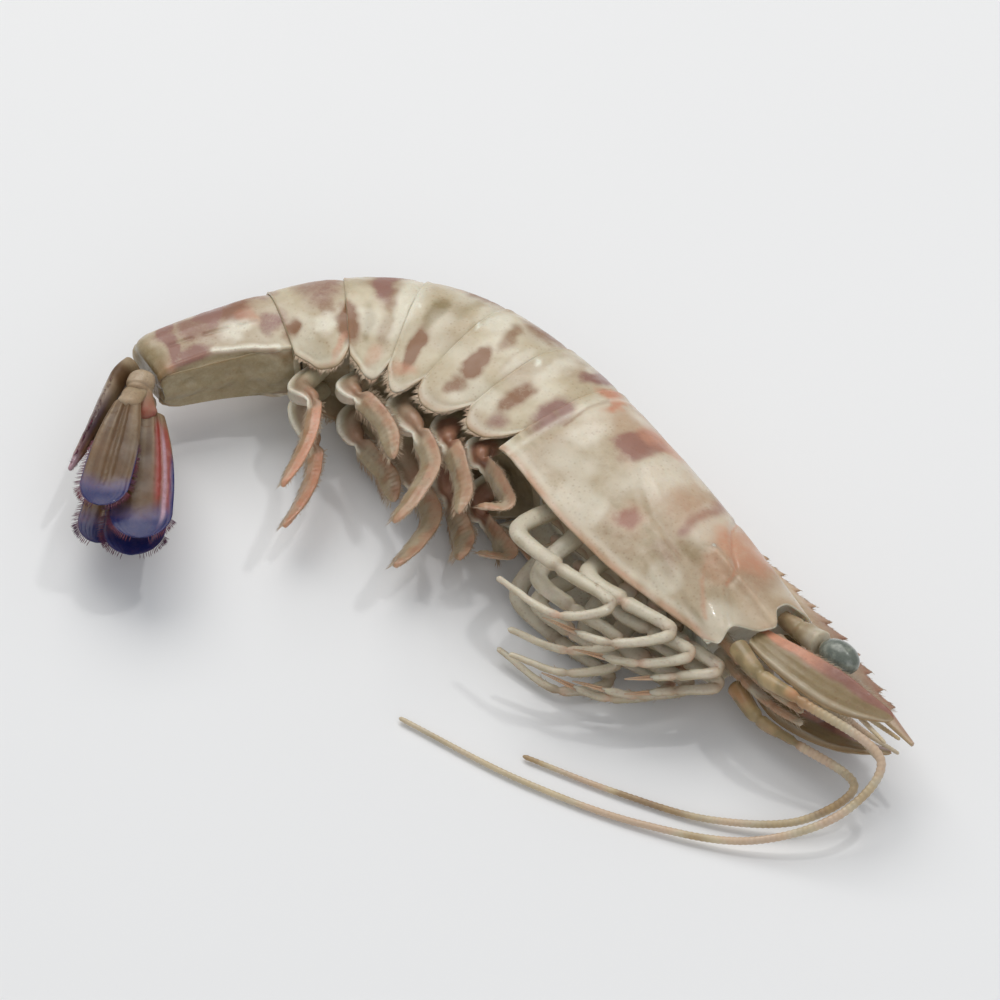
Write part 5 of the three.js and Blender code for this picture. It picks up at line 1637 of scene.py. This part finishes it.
def leg_patches(spec, side, size, rng):
    """A walking leg: jointed segments, and a pair of thin fingers on the first three pairs."""
    places = leg_places(spec, side)
    rows, sides = 150, 20
    route, total, way = curve_through(places, rows)
    joints = [way_of(route, places[i]) for i in (1, 3, 4, 5)]
    radius = LEG_RADIUS * (1.15 - 0.75 * way)
    waist = sum(bump((way - joint) * total, 0.35) for joint in joints)
    knob = sum(bump((way - joint) * total + 1.0, 0.7) for joint in joints)
    shape = (1 - 0.3 * waist + 0.1 * knob) * round_ends(way, total, 0.6, 0.6)
    clawed = spec["number"] in CLAWED
    body_rows = int(rows * CLAW_START) if clawed else rows
    wide = radius * LEG_FLATNESS * shape
    thick = radius * (1 + (LEG_BREADTH - 1) * (1 - way)) * shape
    if clawed:
        wide[body_rows - 6:body_rows] *= np.linspace(1, 0.55, 6)
        thick[body_rows - 6:body_rows] *= np.linspace(1, 0.55, 6)
    points = tube(route[:body_rows], wide[:body_rows], thick[:body_rows], (0, 0, 1), sides)
    across, _ = tube_places(way[:body_rows], sides)
    points = swollen(points, 0.07 * noise(points, 1.3))
    cloud = noise(points, 2.2, spec["number"] * 2.3)
    near_joint = sum(bump((way[:body_rows] - joint) * total, 1.0) for joint in joints)[:, None]
    # The upper side is painted paler and the lower side more olive: painted light from above and painted
    # shade beneath.
    masks = {
        "pale": 0.45 * ramp(across + 0.5 * cloud, -0.2, 0.8) * (1 - 0.5 * near_joint),
        "orange": 0.7 * near_joint * ramp(cloud, -0.4, 0.5),
        "brown": 0.35 * near_joint * ramp(-cloud, 0, 0.5),
        "mauve": 0.35 * ramp(cloud, 0.1, 0.6),
        "olive": 0.15 + 0.35 * ramp(-across, 0.0, 1.0),
    }
    patches = [grid_patch(points, masks)]
    ahead = unit(np.gradient(route, axis=0))
    if clawed:
        beside = unit(np.cross(ahead, [0, 0, 1.0]))[body_rows - 3:]
        finger_way = np.linspace(0, 1, rows - body_rows + 3)
        slim = radius[body_rows] * 0.42 * (1 - 0.8 * finger_way)
        for sense in (1, -1):
            spread = sense * radius[body_rows] * (0.42 - 0.3 * finger_way**2)
            finger = tube(route[body_rows - 3:] + beside * spread[:, None], slim, slim, (0, 0, 1), 10)
            patches.append(grid_patch(finger, {"orange": 0.5}))
    row = (rng.uniform(0.45, 0.86, LEG_BRISTLES) * (rows - 1)).astype(int)
    column = rng.integers(0, sides, LEG_BRISTLES)
    ahead = ahead[row]
    row = np.minimum(row, body_rows - 8)
    aims = ahead + outward(points)[row, column] * 0.7
    patches.append(sown_bristles(points, row, column, aims, 0.15, (0.25, 0.6), 0.7, size, rng))
    return patches


def maxilliped_patches(side, size, rng):
    """A mouth limb: jointed, with a thick brush of bristles along its edges."""
    places = [
        body_point(ORBIT - 4, 12.6, side * 1.7), body_point(ORBIT + 3, 12.2, side * 1.6),
        body_point(ORBIT + 9, 11.4, side * 1.5), body_point(ORBIT + 14, 9.8, side * 1.3),
    ]
    rows, sides = 80, 18
    route, total, way = curve_through(places, rows)
    joints = [way_of(route, place) for place in places[1:3]]
    waist = sum(bump((way - joint) * total, 0.4) for joint in joints)
    blunt = round_ends(way, total, 0.5, 0.6) * (1 - 0.25 * waist)
    points = tube(route, (1.0 - 0.6 * way) * blunt, (1.1 - 0.6 * way) * blunt, (0, 0, 1), sides)
    cloud = noise(points, 1.8)
    masks = {
        "orange": 0.6 * ramp(cloud, -0.2, 0.5), "brown": 0.35 * ramp(-cloud, 0.1, 0.6),
        "pale": 0.3 * ramp(-cloud, -0.2, 0.5), "olive": 0.3, "mauve": 0.2,
    }
    row = rng.integers(6, rows - 2, MAXILLIPED_BRISTLES)
    column = rng.integers(0, sides, MAXILLIPED_BRISTLES)
    aims = unit(np.gradient(route, axis=0))[row] * 1.2 + outward(points)[row, column] * 0.6
    brush = sown_bristles(points, row, column, aims, 0.15, (0.4, 0.9), 0.8, size, rng)
    return [grid_patch(points, masks), brush]


class PRAWN_OT_walking_legs(bpy.types.Operator):
    """Build the five pairs of walking legs and the last mouth limbs"""

    bl_idname = "prawn.walking_legs"
    bl_label = "Walking Legs"

    def execute(self, context):
        size = sizes_mm()
        rng = np.random.default_rng(51)
        for spec in LEGS:
            for name, side in SIDES:
                node = f"pereiopod_{spec['number']}_{name}"
                make_piece(node, "limb", leg_patches(spec, side, size, rng))
        for name, side in SIDES:
            make_piece(f"maxilliped_{name}", "limb", maxilliped_patches(side, size, rng))
        return {"FINISHED"}


# ---------------- eyes, scales and feelers

EYE = {"ahead": 10.4, "depth": 1.7, "side": 4.3, "long": 3.4, "round": 2.2}
EYESTALK = {"ahead": -1.0, "depth": 3.8, "side": 2.2, "root": 1.1, "neck": 1.9}
SCALE_BRISTLES = 170
# The places that each antenna's whip runs through, as (x, y, height) past the tail joint.
WHIPS = {
    "right": ((129.6, -8.5, 10.5), (128.4, -15.5, 6.5), (119, -23.5, 2.2), (104, -28.4, 0.9),
              (86, -30.6, 0.75), (66, -30.2, 0.7)),
    "left": ((126.8, -10.5, 5.4), (123.0, -17.0, 2.6), (112, -22.6, 1.0), (98, -25.4, 0.75),
             (84, -26.8, 0.7)),
}


def eye_patches(side):
    """An eye and its stalk as two grids."""
    centre = body_point(ORBIT + EYE["ahead"], EYE["depth"], side * EYE["side"])
    root = body_point(ORBIT + EYESTALK["ahead"], EYESTALK["depth"], side * EYESTALK["side"])
    aim = unit(centre - root)
    turn = np.linspace(0.02, np.pi - 0.02, 48)
    route = centre - aim * (EYE["long"] * np.cos(turn))[:, None]
    radius = EYE["round"] * np.sin(turn)
    ball = tube(route, radius, radius, (0.3, 0.9, 0.2), 64)
    ball = ball + unit(ball - centre) * (0.03 * noise(ball, 0.8))[..., None]
    collar = 0.9 * (1 - ramp(turn, 0.55, 0.8))[:, None] * (0.75 + 0.25 * noise(ball, 1.2))
    eye = grid_patch(ball, {"pale": np.clip(collar, 0, 1)})
    neck = centre - aim * (EYE["long"] + 0.12)
    line, total, way = curve_through([root, neck], 40)
    blunt = round_ends(way, total, 0.5, 0.35)
    radius = (EYESTALK["root"] + (EYESTALK["neck"] - EYESTALK["root"]) * way) * blunt
    stalk = tube(line, radius, radius, (0, 0, 1), 32)
    stalk = swollen(stalk, 0.1 * noise(stalk, 1.0) - 0.18 * bump(way - 0.45, 0.05)[:, None])
    cloud = noise(stalk, 1.4)
    masks = {
        "pale": 0.35 * ramp(way, 0.6, 0.9)[:, None], "brown": 0.4 * ramp(cloud, 0, 0.5),
        "mauve": 0.3 * ramp(-cloud, 0, 0.5), "orange": 0.3 * (1 - way[:, None]), "olive": 0.6,
    }
    return eye, grid_patch(stalk, masks)


def scale_patches(side, size, rng):
    """An antennal scale: a long thin leaf, stiff along its outer edge, fringed along the other."""
    places = [
        body_point(ORBIT + 1.3, 9.3, side * 3.8), body_point(ORBIT + 8, 8.6, side * 5.5),
        body_point(ORBIT + 17, 5.2, side * 4.8), body_point(ORBIT + 23, 1.4, side * 3.6),
    ]
    rows, sides = 100, 44
    route, total, way = curve_through(places, rows)
    swell = np.sin(np.pi * np.minimum(0.2 + 0.5 * way, 0.5))
    point = np.where(way > 0.6, 1 - 0.8 * np.clip((way - 0.6) / 0.4, 0, 1) ** 1.6, 1)
    wide = 3.0 * swell * point * round_ends(way, total, 0.8, 1.0) * 0.97
    thick = (0.6 - 0.25 * way) * round_ends(way, total, 0.6, 0.8)
    heading = float(back_line(ORBIT)[2])
    across_way = unit(np.array([-np.sin(heading), np.cos(heading), side * 0.25]))
    points = tube(route, wide, thick * 0.75, across_way, sides)
    across, facing = tube_places(way, sides)
    height = 0.2 * bump(across + 0.75, 0.12) - 0.1 * bump(across + 0.5, 0.1)
    height += 0.1 * bump(across - 0.25, 0.1)
    height = height + 0.03 * np.sin(across * 30) + 0.05 * noise(points, 1.0)
    flat = ramp(np.abs(facing), 0.05, 0.35)
    points = swollen(points, height * flat * ramp(1 - way, 0.02, 0.2)[:, None])
    cloud = noise(points, 2.0, 3.0)
    stripe = ramp(across + 0.12 * cloud, 0.2, 0.5)
    masks = {
        "mauve": 0.6 * stripe + 0.35 * ramp(across, -0.4, 0.3),
        "brown": 0.3 + 0.9 * stripe * ramp(way, 0.3, 0.5)[:, None] + 0.2 * ramp(cloud, 0.2, 0.6),
        "olive": 0.75 * (1 - stripe),
        "orange": 0.9 * stripe * (1 - ramp(way, 0.35, 0.6)[:, None]) + 0.25 * ramp(-across, 0.5, 0.9),
        "pale": 0.25 * bump(across + 0.75, 0.12),
    }
    row = (rng.uniform(0.3, 0.98, SCALE_BRISTLES) * (rows - 1)).astype(int)
    column = rng.integers(-1, 2, SCALE_BRISTLES) % sides
    aims = unit(np.gradient(route, axis=0))[row] * 1.1 + across_way * 0.8
    fringe = sown_bristles(points, row, column, aims, 0.08, (0.3, 0.65), 0.8, size, rng)
    return [grid_patch(points, masks), fringe]


class PRAWN_OT_head(bpy.types.Operator):
    """Build the eyes, their stalks and the antennal scales"""

    bl_idname = "prawn.head"
    bl_label = "Eyes and Scales"

    def execute(self, context):
        size = sizes_mm()
        rng = np.random.default_rng(61)
        for name, side in SIDES:
            eye, stalk = eye_patches(side)
            make_piece(f"eye_{name}", "eye", [eye])
            make_piece(f"eyestalk_{name}", "limb", [stalk])
            make_piece(f"antennal_scale_{name}", "limb", scale_patches(side, size, rng))
        return {"FINISHED"}


def whip_masks(points, seed):
    """Faint bands along a feeler."""
    cloud = noise(points, 5.0, seed)
    return {
        "orange": 0.55 * ramp(cloud, -0.1, 0.5), "mauve": 0.3 * ramp(-cloud, 0.1, 0.5),
        "pale": 0.35 * ramp(cloud, -0.6, 0.1), "brown": 0.12, "olive": 0.1,
    }


def antenna_patches(name, side):
    """An antenna: three stout joints, then a ringed whip."""
    places = [
        body_point(ORBIT + 1.6, 12.6, side * 4.1), body_point(ORBIT + 8, 12.8, side * 4.6),
        body_point(ORBIT + 14, 10.8, side * 4.6), *WHIPS[name],
    ]
    route, total, way = curve_through(places, 640)
    radius = np.where(way < 0.14, 1.5 - 5 * way, 0.75 - 0.4 * way)
    joints = [way_of(route, places[i]) for i in (1, 2)]
    waist = sum(bump((way - joint) * total, 0.5) for joint in joints)
    whip = ramp(way, joints[1], joints[1] + 0.02)
    rings = np.sin(way * total * 2 * np.pi / 0.75)
    shape = (1 - 0.28 * waist) * (1 + 0.06 * rings * whip) * round_ends(way, total, 0.8, 0.8)
    points = tube(route, radius * shape * 0.97, radius * shape * 0.97, direction(60, 50), 14)
    masks = whip_masks(points, 1.0 + side)
    stout = (1 - whip)[:, None]
    cloud = noise(points, 1.5, 8.0)
    masks["olive"] += 0.8 * stout * ramp(cloud, -0.5, 0.3)
    raise_masks(masks, orange=0.7 * bump((way - joints[1]) * total, 2.0)[:, None])
    masks["brown"] += 0.5 * stout * ramp(cloud, 0.1, 0.6)
    masks["pale"] = masks["pale"] * (1 - stout)
    return [grid_patch(points, masks)]


def antennule_patches(side):
    """An antennule: a jointed stalk that ends in two short whips."""
    places = [
        body_point(ORBIT + 1.4, 6.4, side * 1.7), body_point(ORBIT + 8, 6.0, side * 1.8),
        body_point(ORBIT + 15, 4.0, side * 1.9),
    ]
    route, total, way = curve_through(places, 70)
    waist = bump((way - 0.4) * total, 0.45) + bump((way - 0.75) * total, 0.4)
    blunt = round_ends(way, total, 0.6, 0.8) * (1 - 0.28 * waist)
    stalk = tube(route, (1.25 - 0.45 * way) * blunt, (1.35 - 0.5 * way) * blunt, (0, 0, 1), 26)
    stalk = swollen(stalk, 0.08 * noise(stalk, 1.1))
    cloud = noise(stalk, 1.6)
    masks = {
        "olive": 0.5 * ramp(cloud, -0.4, 0.4), "mauve": 0.4 * ramp(-cloud, 0, 0.5), "pale": 0.3,
        "orange": 0.2, "brown": 0.25 * ramp(cloud, 0.2, 0.6),
    }
    patches = [grid_patch(stalk, masks)]
    for depth, out in ((-0.9, -0.4), (1.6, 0.5)):
        line, length_past, share = curve_through([
            body_point(ORBIT + 14, 4.1, side * 1.9),
            body_point(ORBIT + 19, 3.6 + depth * 0.4, side * (1.9 + out * 0.4)),
            body_point(ORBIT + 25, 2.6 + depth, side * (1.9 + out)),
        ], 120)
        rings = 1 + 0.07 * np.sin(share * length_past * 2 * np.pi / 0.5)
        radius = (0.5 - 0.25 * share) * rings * round_ends(share, length_past, 0.3, 0.5)
        whip = tube(line, radius, radius, (0, 0, 1), 12)
        patches.append(grid_patch(whip, whip_masks(whip, 3.0 + depth)))
    return patches


class PRAWN_OT_feelers(bpy.types.Operator):
    """Build the antennae with their ringed whips, and the antennules"""

    bl_idname = "prawn.feelers"
    bl_label = "Feelers"

    def execute(self, context):
        for name, side in SIDES:
            make_piece(f"antenna_{name}", "whisker", antenna_patches(name, side))
            make_piece(f"antennule_{name}", "whisker", antennule_patches(side))
        return {"FINISHED"}


# ---------------- stage

CAMERA_AZIMUTH = 32.6     # degrees round from looking along +Y
CAMERA_ELEVATION = 48.0
CAMERA_DISTANCE = 0.9
CAMERA_TARGET = (-0.0079, 0.00788, 0.005)
CAMERA_SENSOR = 36.0      # millimetres, as is the lens
CAMERA_LENS = 230.0
FLOOR_REACH = 3.0
FLOOR_DAPPLE = 0.97       # how dark the floor's darkest patches are
SKY_TINT = (0.93, 0.96, 1.0)
SKY_STRENGTH = 0.42
# Each light's name, watts, width, place and tint.
LIGHTS = (
    ("key", 7.8, 0.95, (-0.55, 0.45, 0.95), (1.0, 0.98, 0.95)),
    ("fill", 2.6, 0.9, (0.7, -0.5, 0.7), (0.96, 0.98, 1.0)),
    ("spark", 1.1, 0.05, (0.15, 0.35, 0.9), (1.0, 1.0, 1.0)),
)


def add_floor(scene):
    """A plain floor, faintly dappled."""
    mesh = bpy.data.meshes.new("floor")
    corners = [(-1, -1), (1, -1), (1, 1), (-1, 1)]
    mesh.from_pydata([(x * FLOOR_REACH, y * FLOOR_REACH, 0) for x, y in corners], [], [(0, 1, 2, 3)])
    floor = add_object("floor", mesh)
    material = bpy.data.materials.new("Floor")
    material.use_nodes = True
    tree = material.node_tree
    shader = tree.nodes["Principled BSDF"]
    shader.inputs["Roughness"].default_value = 0.8
    grain = add_node(tree, "ShaderNodeTexNoise", (-500, 200), inputs={"Scale": 40.0, "Detail": 2.0})
    colour_seen = scene.prawn_colours.floor
    darker = [FLOOR_DAPPLE * value for value in colour_seen]
    tone = mix(tree, grain.outputs["Fac"], colour_seen, darker, (-200, 200))
    tree.links.new(tone, shader.inputs["Base Color"])
    mesh.materials.append(material)


def add_light(name, energy, size, place, tint):
    """A square area light aimed at the prawn."""
    light = bpy.data.lights.new(name, "AREA")
    light.energy = energy
    light.size = size
    light.color = tint
    lamp = add_object(name, light)
    lamp.location = place
    lamp.rotation_euler = (Vector((0, 0, 0)) - Vector(place)).to_track_quat("-Z", "Y").to_euler()


def add_camera(scene):
    """The camera at the photograph's angle."""
    sight = bpy.data.cameras.new("camera")
    sight.lens = CAMERA_LENS
    sight.sensor_width = CAMERA_SENSOR
    sight.clip_start = 0.05
    camera = add_object("camera", sight)
    azimuth, elevation = np.radians(CAMERA_AZIMUTH), np.radians(CAMERA_ELEVATION)
    back = Vector((
        float(np.sin(azimuth) * np.cos(elevation)), float(-np.cos(azimuth) * np.cos(elevation)),
        float(np.sin(elevation)),
    ))
    camera.location = Vector(CAMERA_TARGET) + back * CAMERA_DISTANCE
    camera.rotation_euler = (-back).to_track_quat("-Z", "Y").to_euler()
    scene.camera = camera


class PRAWN_OT_stage(bpy.types.Operator):
    """Set out the floor, the soft studio light and the camera at the photograph's angle"""

    bl_idname = "prawn.stage"
    bl_label = "Stage"

    def execute(self, context):
        scene = context.scene
        add_floor(scene)
        world = bpy.data.worlds.new("Studio")
        world.use_nodes = True
        background = world.node_tree.nodes["Background"]
        background.inputs["Color"].default_value = (*SKY_TINT, 1)
        background.inputs["Strength"].default_value = SKY_STRENGTH
        scene.world = world
        for light in LIGHTS:
            add_light(*light)
        add_camera(scene)
        scene.view_settings.view_transform = "Standard"
        return {"FINISHED"}


# ---------------- panel and registration

OPERATORS = (
    PRAWN_OT_tail_rings, PRAWN_OT_carapace, PRAWN_OT_thorax, PRAWN_OT_tail_fan, PRAWN_OT_swimming_limbs,
    PRAWN_OT_walking_legs, PRAWN_OT_head, PRAWN_OT_feelers, PRAWN_OT_stage,
)


class PRAWN_PT_panel(bpy.types.Panel):
    """The prawn's settings and steps"""

    bl_idname = "PRAWN_PT_panel"
    bl_label = "Caramote Prawn"
    bl_space_type = "VIEW_3D"
    bl_region_type = "UI"
    bl_category = "Prawn"

    def draw(self, context):
        for group, settings in (
            (PrawnSizes, context.scene.prawn_sizes), (PrawnColours, context.scene.prawn_colours),
        ):
            column = self.layout.column(align=True)
            for name in group.__annotations__:
                column.prop(settings, name)
        column = self.layout.column(align=True)
        for operator in OPERATORS:
            column.operator(operator.bl_idname)


CLASSES = (PrawnSizes, PrawnColours, *OPERATORS, PRAWN_PT_panel)


def register():
    """Registers the classes and the scene's settings."""
    for cls in CLASSES:
        bpy.utils.register_class(cls)
    bpy.types.Scene.prawn_sizes = bpy.props.PointerProperty(type=PrawnSizes)
    bpy.types.Scene.prawn_colours = bpy.props.PointerProperty(type=PrawnColours)


def unregister():
    """Removes what register added."""
    del bpy.types.Scene.prawn_colours
    del bpy.types.Scene.prawn_sizes
    for cls in reversed(CLASSES):
        bpy.utils.unregister_class(cls)


def main():
    """Builds everything in order."""
    register()
    bpy.ops.prawn.tail_rings()
    bpy.ops.prawn.carapace()
    bpy.ops.prawn.thorax()
    bpy.ops.prawn.tail_fan()
    bpy.ops.prawn.swimming_limbs()
    bpy.ops.prawn.walking_legs()
    bpy.ops.prawn.head()
    bpy.ops.prawn.feelers()
    bpy.ops.prawn.stage()
    bpy.context.view_layer.update()


if __name__ == "__main__":
    main()
